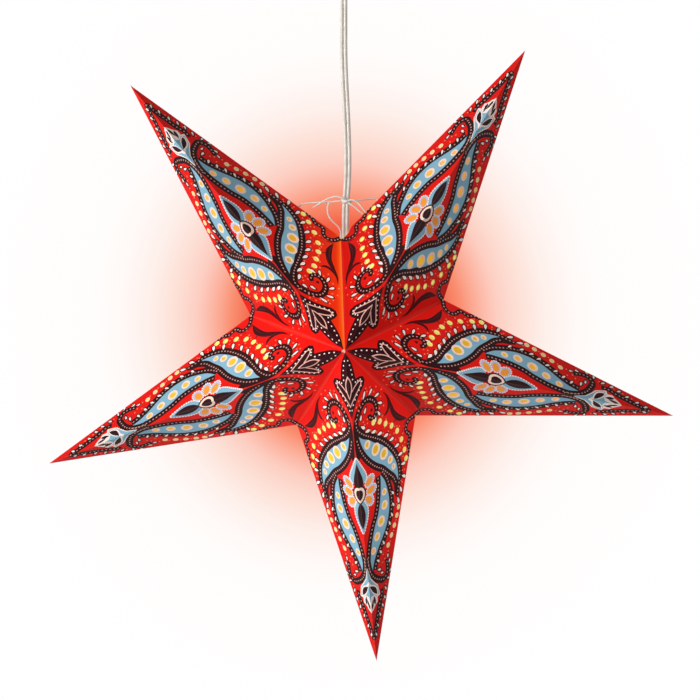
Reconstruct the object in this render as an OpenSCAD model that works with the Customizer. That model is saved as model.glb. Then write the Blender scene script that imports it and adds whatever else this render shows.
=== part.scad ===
// Five-armed folded paper star lantern hung from its flex, with lampholder, bulb and ceiling rose.
// The origin is the centre of the rose's top face, which lies on the ceiling. The front faces -Y.

/* [Star] */
// Distance from the star's centre to each tip
tip_radius = 300; // [200:5:400]
// Distance from the star's centre to each valley between two arms
valley_radius = 92; // [70:1:115]
// Height of the front and back peaks above the star's middle plane
peak_height = 100; // [70:1:130]
// Thickness of the printed card
card_t = 0.5; // [0.4:0.1:1.2]
// Thickness of the tissue glued behind the windows, with its paste
tissue_t = 0.3; // [0.2:0.05:0.6]
// Gap left between the tissue and each glued seam
tissue_setback = 4; // [2:0.5:8]
// Turn of the hung star about its own axis, anticlockwise from the front, in degrees
star_roll = 4.8; // [0:0.1:10]
// Drop of the star's centre below the ceiling
star_drop = 360; // [350:1:370]
// Sideways offset of the star's centre from the ceiling point
star_shift = 5; // [2:0.5:8]

/* [Seam flaps] */
// Width of the glued flap along each seam
flap_w = 12; // [6:0.5:15]
// Half of the gap between the front and the back flap of a seam
flap_gap = 3; // [2.5:0.1:6]
// Bare stretch of each seam beside the peak, measured from the star's axis
flap_bare = 10; // [6:0.5:20]
// Thickness of the glue between the flaps of two arms
glue_t = 0.1; // [0.05:0.05:0.3]

/* [Windows] */
// Width of the largest window in the leaf pods
pod_window_d = 8.4; // [5:0.1:9]
// Width of each window in the border row
border_window_d = 4.2; // [2:0.1:5]

/* [Strings] */
// Thickness of the tie string
string_d = 1.3; // [0.8:0.1:1.6]
// Width of the punched hole for a tie string
string_hole_d = 2.6; // [2.4:0.1:3]
// Width of the stopper knot inside an arm
stopper_d = 4; // [3.4:0.1:5]
// Distance of a string hole from the fold beside it
string_hole_in = 5; // [4:0.1:7]
// Width of the opening that lets the flex through the top valley
flex_opening_d = 12; // [11:0.5:16]
// Distance of that opening's centre behind the middle plane
flex_opening_back = 2.5; // [1:0.1:3]

/* [Flex] */
// Width of the flat twin flex
flex_w = 6.5; // [5:0.1:6.8]
// Thickness of the flat twin flex
flex_t = 3.3; // [2.5:0.1:4]

/* [Lampholder] */
// Outer diameter of the lampholder
holder_d = 28; // [26:0.5:32]
// Wall of the cap and the skirt
holder_wall = 1.8; // [1.2:0.1:2.2]
// Diameter of the threaded nipple on the cap
nipple_d = 12; // [10.5:0.1:14]
// Height of the nipple
nipple_h = 8; // [6:0.5:12]
// Height of the sloped shoulder of the cap
shoulder_h = 6; // [4:0.5:8]
// Height of the straight wall of the cap
cap_wall_h = 12; // [10:0.5:16]
// Height of the skirt below the cap
skirt_h = 30; // [22:0.5:36]
// Height of the skirt's spigot inside the cap
spigot_h = 6; // [4:0.5:8]
// Thickness of the insulator's flange
insulator_flange_t = 3; // [2:0.1:4]
// Diameter of the insulator's body
insulator_d = 19; // [17:0.1:20]
// Height of the insulator's body under its flange
insulator_h = 8; // [5:0.5:10]
// Wall of the metal screw shell
shell_wall = 0.4; // [0.3:0.05:0.6]
// Length of the metal screw shell
shell_h = 18; // [12:0.5:20]
// Clearance between pieces that slide or screw together
fit_clear = 0.15; // [0.1:0.05:0.3]

/* [Bulb] */
// Diameter of the round bulb
bulb_d = 45; // [35:0.5:50]
// Length of the bulb over its base
bulb_h = 78; // [72:0.5:90]
// Diameter of the bulb's screw base
base_d = 13.9; // [13:0.1:14]
// Length of the bulb's screw base
base_h = 18; // [14:0.5:20]
// Diameter of the collar above the base
collar_d = 22; // [18:0.5:23]

/* [Ceiling rose] */
// Diameter of the cover at the ceiling
rose_d = 76; // [70:1:90]
// Height of the cover
rose_h = 30; // [28:0.5:32]
// Wall of the cover
rose_wall = 2; // [1.2:0.1:3]
// Clearance between the base plate's edge and the cover
rose_base_clear = 1; // [0.5:0.1:2]
// Thickness of the base plate
rose_base_t = 3; // [2:0.1:4]
// Spacing of the two fixing screws
screw_spacing = 50.8; // [48:0.1:54]
// Diameter of the fixing holes
screw_hole_d = 4.5; // [3.5:0.1:5.5]
// Length of the tapered cord grip below the cover
grip_h = 12; // [8:0.5:14]

/* [Hidden] */

// Angles of the arms' axes, anticlockwise from +X as seen from the front, on an unturned star
arm_step = 72;
half_arm = arm_step / 2;
upper_left_angle = 126;
upper_right_angle = 54;
right_angle = -18;
bottom_angle = -90;
left_angle = 198;

// Overrun of cuts, and the fine and coarse settings for round pieces
cut_over = 0.2;
fine = 64;
coarse = 32;
window_sides = 8;
opening_sides = 12;

// Corners of one arm whose axis lies along +Z: its tip, right valley and front peak
tip = [0, 0, tip_radius];
valley = valley_radius * [sin(half_arm), 0, cos(half_arm)];
peak = [0, -peak_height, 0];

// Directions of the front right panel: along its ridge, across it and out of it
function unit(v) = v / norm(v);
ridge_len = norm(tip - peak);
ridge_dir = unit(tip - peak);
panel_reach = (valley - peak) - ((valley - peak) * ridge_dir) * ridge_dir;
panel_w = norm(panel_reach);
across_dir = unit(panel_reach);
out_dir = cross(across_dir, ridge_dir);

// Shift along an arm's axis that moves all four panels inwards by one thickness
card_inset = card_t / out_dir[2];
tissue_inset = tissue_t / out_dir[2];

// Window places on a panel, as shares of its width and of its ridge's length, with each width's share
pod_window_shares = [
    [0.130, 0.643, 0.52], [0.208, 0.607, 0.60], [0.295, 0.569, 0.80], [0.371, 0.527, 0.68], [0.387, 0.486, 0.52],
    [0.572, 0.430, 0.44], [0.530, 0.402, 0.54], [0.438, 0.370, 0.90], [0.317, 0.340, 1.00], [0.194, 0.309, 0.62]];
border_window_shares = [
    [0.785, 0.433], [0.770, 0.403], [0.735, 0.365], [0.679, 0.330],
    [0.598, 0.303], [0.505, 0.284], [0.420, 0.266], [0.320, 0.256]];

// Places along the two folds beside the top valley where the tie strings go in
string_hole_share = 0.2;

// Spacing of the knot's turns and width of its bead, as shares of the string's thickness
knot_pitch_share = 0.85;
knot_bead_share = 3;

// Places of a stopper knot's rings, as shares of its half width, and the sides of each tube
stopper_shares = [-0.92, -0.6, 0, 0.6, 0.92];
string_sides = 8;
flex_sides = 10;

// The flex hangs from the rose to the lampholder
knot_at = [2, 0, -236];
flex_x = 1.5;
holder_x = 2.5;
holder_top = -310;
terminal_rise = 2;
terminal_top = holder_top - nipple_h - shoulder_h + terminal_rise;
rose_terminal_h = 9;
flex_route = [
    [0, 0, -rose_base_t - rose_terminal_h], [0, 0, -24], [0, 0, -36], [0, 0, -50], [0, 0, -66], [0, 0, -84],
    [0, 0, -100], [0.3, 0, -116], [1, 0, -132], [1.8, 0, -148], [2.6, 0, -164], [3.2, 0, -180], [3.6, 0, -196],
    [3.5, 0, -210], [3, 0, -222], [2, 0, -236], [1.5, 0, -250], [1.5, 0, -264], [1.8, 0, -278],
    [2.3, 0, -292], [2.5, 0, -304], [2.5, 0, terminal_top]];

// Each string's route is measured from the star's centre as it hangs
string_left_route = [
    [-50, 0.7, 112.9], [-48.6, 2.4, 114.9], [-47.1, 4.1, 116.9], [-45.9, 5.5, 118.6], [-44.2, 6, 120.4],
    [-41, 5.2, 121.8], [-35, 3.5, 122.4], [-28, 1.2, 122.8], [-21, -1, 123.2], [-15, -2.6, 123.6],
    [-10.5, -3, 123.9], [-7.5, -2.8, 124]];
string_right_route = [
    [30.4, 0.7, 119.6], [28.7, 2.4, 121.3], [26.9, 4.1, 123.1], [25.5, 5.5, 124.5], [23.6, 6, 125.6],
    [20, 5, 126], [15, 3, 125.6], [10, 0.6, 125], [6, -1.3, 124.4], [1.8, -2.5, 124]];
string_loop_route = [
    [-18.4, -2.4, 122.6], [-19.4, -3.2, 118.6], [-19.3, -3.6, 114], [-18, -3.6, 110], [-15.4, -3.2, 106.5],
    [-12.4, -2.4, 103.6], [-9.8, -1.2, 101], [-8.2, -0.2, 97.6], [-7.8, 0.3, 93], [-7.8, 0.3, 86]];
tail_left_route = [
    [-4.7, -5.2, 125.4], [-7.5, -5.8, 127.2], [-11.5, -5.6, 128], [-16, -5, 127.2], [-21.5, -4.4, 125],
    [-26.5, -4, 121.8], [-30.5, -3.8, 119.4]];
tail_right_route = [
    [-1.3, -5.2, 122.6], [1.5, -5.8, 121.2], [4.6, -5.4, 119], [7.6, -5, 116.4], [10.2, -4.6, 114.2]];
tail_short_route = [
    [-0.9, -5.4, 124.7], [3, -6, 125], [7, -6, 123], [10.6, -5.6, 119.4], [13.6, -5.2, 115.6]];

// Moves one arm, drawn with its axis along +Z, to its place on the hung star
module hang_star() {
    translate([star_shift, 0, -star_drop]) rotate([0, -star_roll, 0]) children();
}

module hang_arm(angle) {
    hang_star() rotate([0, 90 - angle, 0]) children();
}

// Repeats a front right shape on all four panels of an arm
module each_panel() {
    for (side = [0, 1], face = [0, 1])
        mirror([side, 0, 0]) mirror([0, face, 0]) children();
}

// Puts flat work drawn with X across the panel and Y along its ridge onto the front right panel
module on_panel() {
    multmatrix([
        [across_dir[0], ridge_dir[0], out_dir[0], peak[0]],
        [across_dir[1], ridge_dir[1], out_dir[1], peak[1]],
        [across_dir[2], ridge_dir[2], out_dir[2], peak[2]]])
        children();
}

// Solid outline of one arm, bounded by its four panels and the two seam planes
module arm_solid() {
    left = [-valley[0], valley[1], valley[2]];
    back = [peak[0], -peak[1], peak[2]];
    polyhedron(
        points = [tip, valley, left, peak, back],
        faces = [[3, 0, 1], [3, 2, 0], [4, 1, 0], [4, 0, 2], [3, 1, 4], [3, 4, 2]]);
}

// Cuts one panel's windows through everything between two depths below its face
module window_cutters(from, to) {
    on_panel() translate([0, 0, -to - cut_over]) linear_extrude(to - from + 2 * cut_over) {
        for (w = pod_window_shares)
            translate([w[0] * panel_w, w[1] * ridge_len]) circle(d = w[2] * pod_window_d, $fn = window_sides);
        for (w = border_window_shares)
            translate([w[0] * panel_w, w[1] * ridge_len]) circle(d = border_window_d, $fn = window_sides);
    }
}

// Places on the front of a seam plane, on a line that runs a given distance inside the seam
seam_len = norm([valley_radius, peak_height]);
function seam_y(s, inset) = (peak_height * (s - valley_radius) + inset * seam_len) / valley_radius;
function seam_s(y, inset) = (valley_radius * (peak_height + y) - inset * seam_len) / peak_height;

// One flap, folded inwards along the front right seam, tapered at the peak and at the valley
module seam_flap() {
    fold = card_t / 4;
    taper_s = flap_bare + flap_w * peak_height / seam_len;
    outline = [
        [flap_bare, seam_y(flap_bare, fold)],
        [seam_s(-flap_gap, fold), -flap_gap],
        [seam_s(-flap_gap, flap_w), -flap_gap],
        [taper_s, seam_y(taper_s, flap_w)]];
    rotate([0, half_arm - 90, 0]) translate([0, 0, glue_t / 2]) linear_extrude(card_t) polygon(outline);
}

// One arm's card: a sheet folded along two ridges and two sides, with windows and four seam flaps
module arm_card() {
    difference() {
        arm_solid();
        translate([0, 0, -card_inset]) arm_solid();
        each_panel() window_cutters(0, card_t);
    }
    each_panel() seam_flap();
}

// One arm's tissue: a plain sheet folded the same way and pasted inside the card
module arm_tissue() {
    reach = tip_radius * [tan(half_arm), 1];
    intersection() {
        difference() {
            translate([0, 0, -card_inset]) arm_solid();
            translate([0, 0, -card_inset - tissue_inset]) arm_solid();
        }
        translate([0, 0, tissue_setback / sin(half_arm)]) rotate([90, 0, 0])
            linear_extrude(2 * peak_height, center = true)
                polygon([[0, 0], reach, [-reach[0], reach[1]]]);
    }
}

// Hole for a tie string, through the back panel beside the top valley on one side of an arm
module string_hole(side) {
    fold = tip - valley;
    place = valley + string_hole_share * fold;
    fold_dir = unit(fold);
    in_dir = cross(out_dir, fold_dir);
    spot = place + string_hole_in * in_dir;
    depth = card_t + tissue_t;
    mirror([side < 0 ? 1 : 0, 0, 0]) mirror([0, 1, 0])
        multmatrix([
            [in_dir[0], fold_dir[0], out_dir[0], spot[0]],
            [in_dir[1], fold_dir[1], out_dir[1], spot[1]],
            [in_dir[2], fold_dir[2], out_dir[2], spot[2]]])
            translate([0, 0, -depth - cut_over]) linear_extrude(depth + 2 * cut_over)
                circle(d = string_hole_d, $fn = window_sides);
}

// Opening at the top valley, as plumb as the flex that passes it
module flex_opening() {
    valley_top = -star_drop + valley_radius * cos(star_roll);
    translate([flex_x, flex_opening_back, valley_top - flex_opening_d])
        cylinder(d = flex_opening_d, h = 2 * flex_opening_d, $fn = opening_sides);
}

module arm_upper_left() {
    color("#d42a1c") difference() {
        hang_arm(upper_left_angle) difference() {
            arm_card();
            string_hole(1);
        }
        flex_opening();
    }
}

module arm_upper_right() {
    color("#b81d18") difference() {
        hang_arm(upper_right_angle) difference() {
            arm_card();
            string_hole(-1);
        }
        flex_opening();
    }
}

module arm_right() {
    color("#d42a1c") hang_arm(right_angle) arm_card();
}

module arm_bottom() {
    color("#d42a1c") hang_arm(bottom_angle) arm_card();
}

module arm_left() {
    color("#d42a1c") hang_arm(left_angle) arm_card();
}

module tissue_upper_left() {
    color("#ffd21e") difference() {
        hang_arm(upper_left_angle) difference() {
            arm_tissue();
            string_hole(1);
        }
        flex_opening();
    }
}

module tissue_upper_right() {
    color("#ffd21e") difference() {
        hang_arm(upper_right_angle) difference() {
            arm_tissue();
            string_hole(-1);
        }
        flex_opening();
    }
}

module tissue_right() {
    color("#ffd21e") hang_arm(right_angle) arm_tissue();
}

module tissue_bottom() {
    color("#ffd21e") hang_arm(bottom_angle) arm_tissue();
}

module tissue_left() {
    color("#ffd21e") hang_arm(left_angle) arm_tissue();
}

// Tube along a route, with a width and a thickness at each point, whose width stays level
function even(route, w, t) = [for (p = route) [w, t]];
function heading(route, i) =
    unit(route[min(i + 1, len(route) - 1)] - route[max(i - 1, 0)]);
function ring(route, i, size, sides) =
    let (along = heading(route, i),
        level = unit(cross(along, [0, 1, 0])),
        thick = cross(along, level))
    [for (k = [0 : sides - 1])
        route[i] + size[0] / 2 * cos(360 * k / sides) * level + size[1] / 2 * sin(360 * k / sides) * thick];

module tube(route, sizes, sides) {
    last = len(route) - 1;
    points = [for (i = [0 : last]) each ring(route, i, sizes[i], sides)];
    walls = [for (i = [0 : last - 1], k = [0 : sides - 1])
        let (a = i * sides + k, b = i * sides + (k + 1) % sides)
        each [[a, b + sides, b], [a, a + sides, b + sides]]];
    start = [for (k = [0 : sides - 1]) k];
    end = [for (k = [0 : sides - 1]) last * sides + sides - 1 - k];
    polyhedron(points = points, faces = concat([start], walls, [end]));
}

// A string, whose route is measured from the star's centre
module string_tube(route, sizes) {
    translate([star_shift, 0, -star_drop]) tube(route, sizes, string_sides);
}

module plain_string(route) {
    string_tube(route, even(route, string_d, string_d));
}

// A string that starts in a stopper knot inside the arm
module stopped_string(route) {
    along = unit(route[1] - route[0]);
    knot_points = [for (s = stopper_shares) route[0] + s * stopper_d / 2 * along];
    knot_sizes = [for (s = stopper_shares) stopper_d * sqrt(1 - s * s) * [1, 1]];
    rest = [for (i = [1 : len(route) - 1]) route[i]];
    string_tube(concat(knot_points, rest), concat(knot_sizes, even(rest, string_d, string_d)));
}

module tie_string_left() {
    color("#e9e4d6") stopped_string(string_left_route);
}

module tie_string_right() {
    color("#e9e4d6") stopped_string(string_right_route);
}

module tie_string_loop() {
    color("#e9e4d6") plain_string(string_loop_route);
}

// The knot that grips the flex: three turns of string and a bead in front
module tie_knot() {
    turn_r = flex_w / 2 + fit_clear + string_d / 2;
    color("#e9e4d6") {
        translate(knot_at) rotate_extrude($fn = coarse)
            for (turn = [-1, 0, 1])
                translate([turn_r, turn * knot_pitch_share * string_d]) circle(d = string_d, $fn = coarse);
        translate(knot_at + [0, -turn_r - string_d / 2, 0])
            sphere(d = knot_bead_share * string_d, $fn = coarse);
    }
}

// The three loose ends of string that leave the knot
module tie_ends() {
    color("#e9e4d6") {
        plain_string(tail_left_route);
        plain_string(tail_right_route);
        plain_string(tail_short_route);
    }
}

module flex() {
    color("#f4f1ea") tube(flex_route, even(flex_route, flex_w, flex_t), flex_sides);
}

// Sizes inside the lampholder
cap_h = nipple_h + shoulder_h + cap_wall_h;
cap_bore_d = holder_d - 2 * holder_wall;
spigot_d = cap_bore_d - 2 * fit_clear;
spigot_bore_d = spigot_d - 2 * holder_wall;
insulator_bottom = -cap_h + spigot_h - insulator_h;
flange_top = -cap_h + spigot_h + insulator_flange_t;
terminal_size = [4.5, 5];
terminal_x = 4;
terminal_screw_d = 2.8;
terminal_screw_h = 1.2;
grip_screw_d = 3;
grip_screw_head_d = 4.5;
grip_screw_head_h = 1.5;
contact_d = 5;
contact_t = 1.2;
flex_bore_d = flex_w + 2 * fit_clear;

module at_holder(z) {
    translate([holder_x, 0, holder_top + z]) children();
}

// Cap of the lampholder: threaded nipple, sloped shoulder and straight wall, open below
module holder_cap() {
    color("#f2efe8") difference() {
        union() {
            at_holder(-nipple_h) cylinder(d = nipple_d, h = nipple_h, $fn = fine);
            at_holder(-nipple_h - shoulder_h)
                cylinder(d1 = holder_d, d2 = nipple_d + 2 * holder_wall, h = shoulder_h, $fn = fine);
            at_holder(-cap_h) cylinder(d = holder_d, h = cap_wall_h, $fn = fine);
        }
        at_holder(-cap_h) cylinder(d = flex_bore_d, h = cap_h + cut_over, $fn = fine);
        at_holder(-cap_h - cut_over) cylinder(d = cap_bore_d, h = cap_wall_h + cut_over, $fn = fine);
        at_holder(-nipple_h - shoulder_h)
            cylinder(d1 = cap_bore_d, d2 = nipple_d, h = shoulder_h - holder_wall, $fn = fine);
        at_holder(-nipple_h / 2) rotate([90, 0, 0])
            cylinder(d = grip_screw_d + 2 * fit_clear, h = nipple_d, $fn = coarse);
    }
}

// Screw through the nipple's side that clamps the flex
module grip_screw() {
    color("#c9b37a") at_holder(-nipple_h / 2) rotate([90, 0, 0]) {
        translate([0, 0, flex_t / 2 + fit_clear])
            cylinder(d = grip_screw_d, h = nipple_d / 2 - flex_t / 2 - fit_clear, $fn = coarse);
        translate([0, 0, nipple_d / 2])
            cylinder(d = grip_screw_head_d, h = grip_screw_head_h, $fn = coarse);
    }
}

// Two brass blocks on the insulator, where the flex ends
module holder_terminals() {
    color("#c8a24a") for (side = [-1, 1])
        translate([holder_x + side * terminal_x - terminal_size[0] / 2, -terminal_size[1] / 2,
                holder_top + flange_top])
            cube([terminal_size[0], terminal_size[1], terminal_top - holder_top - flange_top]);
}

module terminal_screws() {
    color("#d8d3c4") for (side = [-1, 1])
        translate([holder_x + side * (terminal_x + terminal_size[0] / 2), 0,
                (terminal_top + holder_top + flange_top) / 2])
            rotate([0, side * 90, 0]) cylinder(d = terminal_screw_d, h = terminal_screw_h, $fn = coarse);
}

// Insulator: a flange clamped between cap and skirt, with a body below it
module insulator() {
    color("#efe9dc") {
        at_holder(-cap_h + spigot_h)
            cylinder(d = spigot_d, h = insulator_flange_t, $fn = fine);
        at_holder(insulator_bottom) cylinder(d = insulator_d, h = insulator_h, $fn = fine);
    }
}

// Metal sleeve that takes the bulb's base, with a rim under the insulator
module screw_shell() {
    bore_d = base_d + 4 * fit_clear;
    outer_d = bore_d + 2 * shell_wall;
    color("#b9b9b4") difference() {
        union() {
            at_holder(insulator_bottom - shell_h) cylinder(d = outer_d, h = shell_h, $fn = fine);
            at_holder(insulator_bottom - shell_wall)
                cylinder(d = (insulator_d + outer_d) / 2, h = shell_wall, $fn = fine);
        }
        at_holder(insulator_bottom - shell_h - cut_over)
            cylinder(d = bore_d, h = shell_h + 2 * cut_over, $fn = fine);
    }
}

module centre_contact() {
    color("#c8a24a") at_holder(insulator_bottom - contact_t)
        cylinder(d = contact_d, h = contact_t, $fn = coarse);
}

// Skirt of the lampholder: a sleeve round the bulb's base, with a spigot up into the cap
module holder_skirt() {
    color("#f2efe8") difference() {
        union() {
            at_holder(-cap_h - skirt_h) cylinder(d = holder_d, h = skirt_h, $fn = fine);
            at_holder(-cap_h) cylinder(d = spigot_d, h = spigot_h, $fn = fine);
        }
        at_holder(-cap_h - skirt_h - cut_over)
            cylinder(d = cap_bore_d, h = skirt_h - holder_wall + cut_over, $fn = fine);
        at_holder(-cap_h - skirt_h)
            cylinder(d = spigot_bore_d, h = skirt_h + spigot_h + cut_over, $fn = fine);
    }
}

// Opal bulb: contact, screw base, collar, sloping neck and round glass
button_d = 6;
button_h = 2;
collar_h = 5;
module bulb() {
    top = insulator_bottom - contact_t;
    base_bottom = top - button_h - base_h;
    globe = top - bulb_h + bulb_d / 2;
    neck_drop = base_bottom - collar_h - globe;
    lean = atan2(neck_drop, collar_d / 2) - acos(bulb_d / 2 / norm([neck_drop, collar_d / 2]));
    tangent_r = bulb_d / 2 * cos(lean);
    tangent_z = globe + bulb_d / 2 * sin(lean);
    color("#fff6dd") {
        at_holder(top - button_h) cylinder(d = button_d, h = button_h, $fn = coarse);
        at_holder(base_bottom) cylinder(d = base_d, h = base_h, $fn = fine);
        at_holder(base_bottom - collar_h) cylinder(d1 = collar_d, d2 = base_d, h = collar_h, $fn = fine);
        at_holder(tangent_z)
            cylinder(r1 = tangent_r, r2 = collar_d / 2, h = base_bottom - collar_h - tangent_z, $fn = fine);
        at_holder(globe) sphere(d = bulb_d, $fn = fine);
    }
}

// Sizes of the ceiling rose
rose_ring_d = 34;
rose_ring_wall = 2.2;
rose_ring_h = 11;
supply_hole_d = 6;
supply_hole_y = 9.5;
terminal_block = [22, 10];
rose_terminal_d = 4;
rose_terminal_x = 6;
rose_grip_d = 10.6;
rose_grip_end_d = 8.8;
grip_flange_d = 16;
grip_flange_t = 2;
dome_r = (pow(rose_d / 2, 2) + pow(rose_h, 2)) / (2 * rose_h);
dome_z = dome_r - rose_h;
rose_base_d = 2 * (sqrt(pow(dome_r - rose_wall, 2) - pow(dome_z + rose_base_t, 2)) - rose_base_clear);

// Base plate of the rose: fixing holes, a supply hole and the ring that the cover screws to
module rose_base() {
    color("#f4f2ec") difference() {
        union() {
            translate([0, 0, -rose_base_t]) cylinder(d = rose_base_d, h = rose_base_t, $fn = fine);
            translate([0, 0, -rose_base_t - rose_ring_h]) difference() {
                cylinder(d = rose_ring_d, h = rose_ring_h, $fn = fine);
                translate([0, 0, -cut_over])
                    cylinder(d = rose_ring_d - 2 * rose_ring_wall, h = rose_ring_h + cut_over, $fn = fine);
            }
        }
        for (side = [-1, 1])
            translate([side * screw_spacing / 2, 0, -rose_base_t - cut_over])
                cylinder(d = screw_hole_d, h = rose_base_t + 2 * cut_over, $fn = coarse);
        translate([0, supply_hole_y, -rose_base_t - cut_over])
            cylinder(d = supply_hole_d, h = rose_base_t + 2 * cut_over, $fn = coarse);
    }
}

module rose_terminal_places() {
    for (side = [-1, 1])
        translate([side * rose_terminal_x, 0, -rose_base_t - rose_terminal_h]) children();
}

// Insulating block inside the ring, with a bore for each terminal
module rose_terminal_block() {
    color("#e8e4d8") difference() {
        translate([-terminal_block[0] / 2, -terminal_block[1] / 2, -rose_base_t - rose_terminal_h])
            cube([terminal_block[0], terminal_block[1], rose_terminal_h]);
        rose_terminal_places() translate([0, 0, -cut_over])
            cylinder(d = rose_terminal_d + 2 * fit_clear, h = rose_terminal_h + 2 * cut_over, $fn = coarse);
    }
}

module rose_terminals() {
    color("#c8a24a") rose_terminal_places()
        cylinder(d = rose_terminal_d, h = rose_terminal_h, $fn = coarse);
}

// Domed cover, with a collar inside that screws onto the base's ring
module rose_cover() {
    collar_bore_d = rose_ring_d + 2 * fit_clear;
    collar_top = -rose_base_t - rose_ring_wall;
    color("#f4f2ec") difference() {
        union() {
            difference() {
                translate([0, 0, dome_z]) sphere(r = dome_r, $fn = fine);
                translate([0, 0, dome_z]) sphere(r = dome_r - rose_wall, $fn = fine);
            }
            intersection() {
                translate([0, 0, dome_z]) sphere(r = dome_r, $fn = fine);
                translate([0, 0, -rose_h]) difference() {
                    cylinder(d = collar_bore_d + 2 * rose_wall, h = rose_h + collar_top, $fn = fine);
                    cylinder(d = collar_bore_d, h = rose_h + collar_top + cut_over, $fn = fine);
                }
            }
            intersection() {
                translate([0, 0, dome_z]) sphere(r = dome_r, $fn = fine);
                translate([0, 0, -rose_h]) cylinder(d = collar_bore_d, h = rose_wall, $fn = fine);
            }
        }
        translate([-rose_d, -rose_d, 0]) cube([2 * rose_d, 2 * rose_d, 2 * dome_r]);
        translate([0, 0, -rose_h - cut_over])
            cylinder(d = rose_grip_d + 2 * fit_clear, h = rose_h, $fn = fine);
    }
}

// Cord grip in the cover's hole: a flange inside and a tapered nose below
module rose_grip() {
    seat = dome_z - sqrt(pow(dome_r - rose_wall, 2) - pow(grip_flange_d / 2, 2)) + fit_clear;
    color("#f4f2ec") difference() {
        union() {
            translate([0, 0, seat]) cylinder(d = grip_flange_d, h = grip_flange_t, $fn = fine);
            translate([0, 0, -rose_h]) cylinder(d = rose_grip_d, h = rose_h + seat, $fn = fine);
            translate([0, 0, -rose_h - grip_h])
                cylinder(d1 = rose_grip_end_d, d2 = rose_grip_d, h = grip_h, $fn = fine);
        }
        translate([0, 0, -rose_h - grip_h - cut_over])
            cylinder(d = flex_bore_d, h = rose_h + grip_h, $fn = fine);
    }
}

arm_upper_left();
arm_upper_right();
arm_right();
arm_bottom();
arm_left();
tissue_upper_left();
tissue_upper_right();
tissue_right();
tissue_bottom();
tissue_left();
tie_string_left();
tie_string_right();
tie_string_loop();
tie_knot();
tie_ends();
flex();
holder_cap();
grip_screw();
holder_terminals();
terminal_screws();
insulator();
screw_shell();
centre_contact();
holder_skirt();
bulb();
rose_base();
rose_terminal_block();
rose_terminals();
rose_cover();
rose_grip();
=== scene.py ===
import math

import bmesh
import bpy
import numpy as np
from mathutils import Matrix, Vector
from mathutils.geometry import delaunay_2d_cdt


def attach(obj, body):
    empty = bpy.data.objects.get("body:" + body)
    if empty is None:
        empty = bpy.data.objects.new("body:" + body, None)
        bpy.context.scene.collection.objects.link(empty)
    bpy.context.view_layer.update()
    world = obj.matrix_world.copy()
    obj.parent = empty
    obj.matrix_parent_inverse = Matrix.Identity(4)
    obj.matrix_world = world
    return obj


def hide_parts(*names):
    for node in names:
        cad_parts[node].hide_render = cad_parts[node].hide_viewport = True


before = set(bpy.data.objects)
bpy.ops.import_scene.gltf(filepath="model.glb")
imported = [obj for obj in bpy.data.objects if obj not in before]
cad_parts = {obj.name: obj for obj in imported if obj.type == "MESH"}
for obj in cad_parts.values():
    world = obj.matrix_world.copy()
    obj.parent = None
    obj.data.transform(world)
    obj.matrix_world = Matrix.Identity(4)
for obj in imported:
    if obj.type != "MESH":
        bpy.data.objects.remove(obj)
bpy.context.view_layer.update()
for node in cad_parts.values():
    node.select_set(False)


# The photograph was taken from a little to the right of the lantern and a little above its middle,
# with a long lens. The middle of the picture lies a few millimetres under the star's peak.
bpy.ops.object.camera_add(
    location=(0.0537, -1.2639, -0.2365),
    rotation=(math.radians(90 - 5.575), 0, math.radians(2.206)))
camera = bpy.context.object
camera.name = "camera"
camera.data.lens = 72.25
camera.data.shift_x = 0.0009
camera.data.shift_y = -0.0159
bpy.context.scene.camera = camera


# The flex is white plastic twin cable: two round cores side by side with a groove between them.
# It leaves the ceiling rose's grip, hangs straight and goes into the lampholder under the knot.
FLEX_WIDTH, FLEX_THICKNESS = 0.0065, 0.0033
FLEX_ROUTE = [
    (0, 0, -12), (0, 0, -24), (0, 0, -36), (0, 0, -50), (0, 0, -66), (0, 0, -84), (0, 0, -100),
    (0.3, 0, -116), (1, 0, -132), (1.8, 0, -148), (2.6, 0, -164), (3.2, 0, -180), (3.6, 0, -196),
    (3.5, 0, -210), (3, 0, -222), (2, 0, -236), (1.5, 0, -250), (1.5, 0, -264), (1.8, 0, -278),
    (2.3, 0, -292), (2.5, 0, -304), (2.5, 0, -322)]


def smooth_line(points, step):
    """A smooth line through the points, with a point about every step."""
    p = [Vector(q) for q in points]
    p = [2 * p[0] - p[1]] + p + [2 * p[-1] - p[-2]]
    line = []
    for i in range(1, len(p) - 2):
        count = max(1, round((p[i + 1] - p[i]).length / step))
        for k in range(count):
            t = k / count
            line.append(0.5 * (2 * p[i] + t * (p[i + 1] - p[i - 1])
                               + t * t * (2 * p[i - 1] - 5 * p[i] + 4 * p[i + 1] - p[i + 2])
                               + t ** 3 * (3 * p[i] - p[i - 1] - 3 * p[i + 1] + p[i + 2])))
    return line + [p[-2]]


def mesh_piece(name, work, smooth=True):
    """Makes a piece of the lantern from finished geometry."""
    mesh = bpy.data.meshes.new(name)
    work.to_mesh(mesh)
    work.free()
    piece = bpy.data.objects.new(name, mesh)
    bpy.context.scene.collection.objects.link(piece)
    for face in mesh.polygons:
        face.use_smooth = smooth
    return piece


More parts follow.
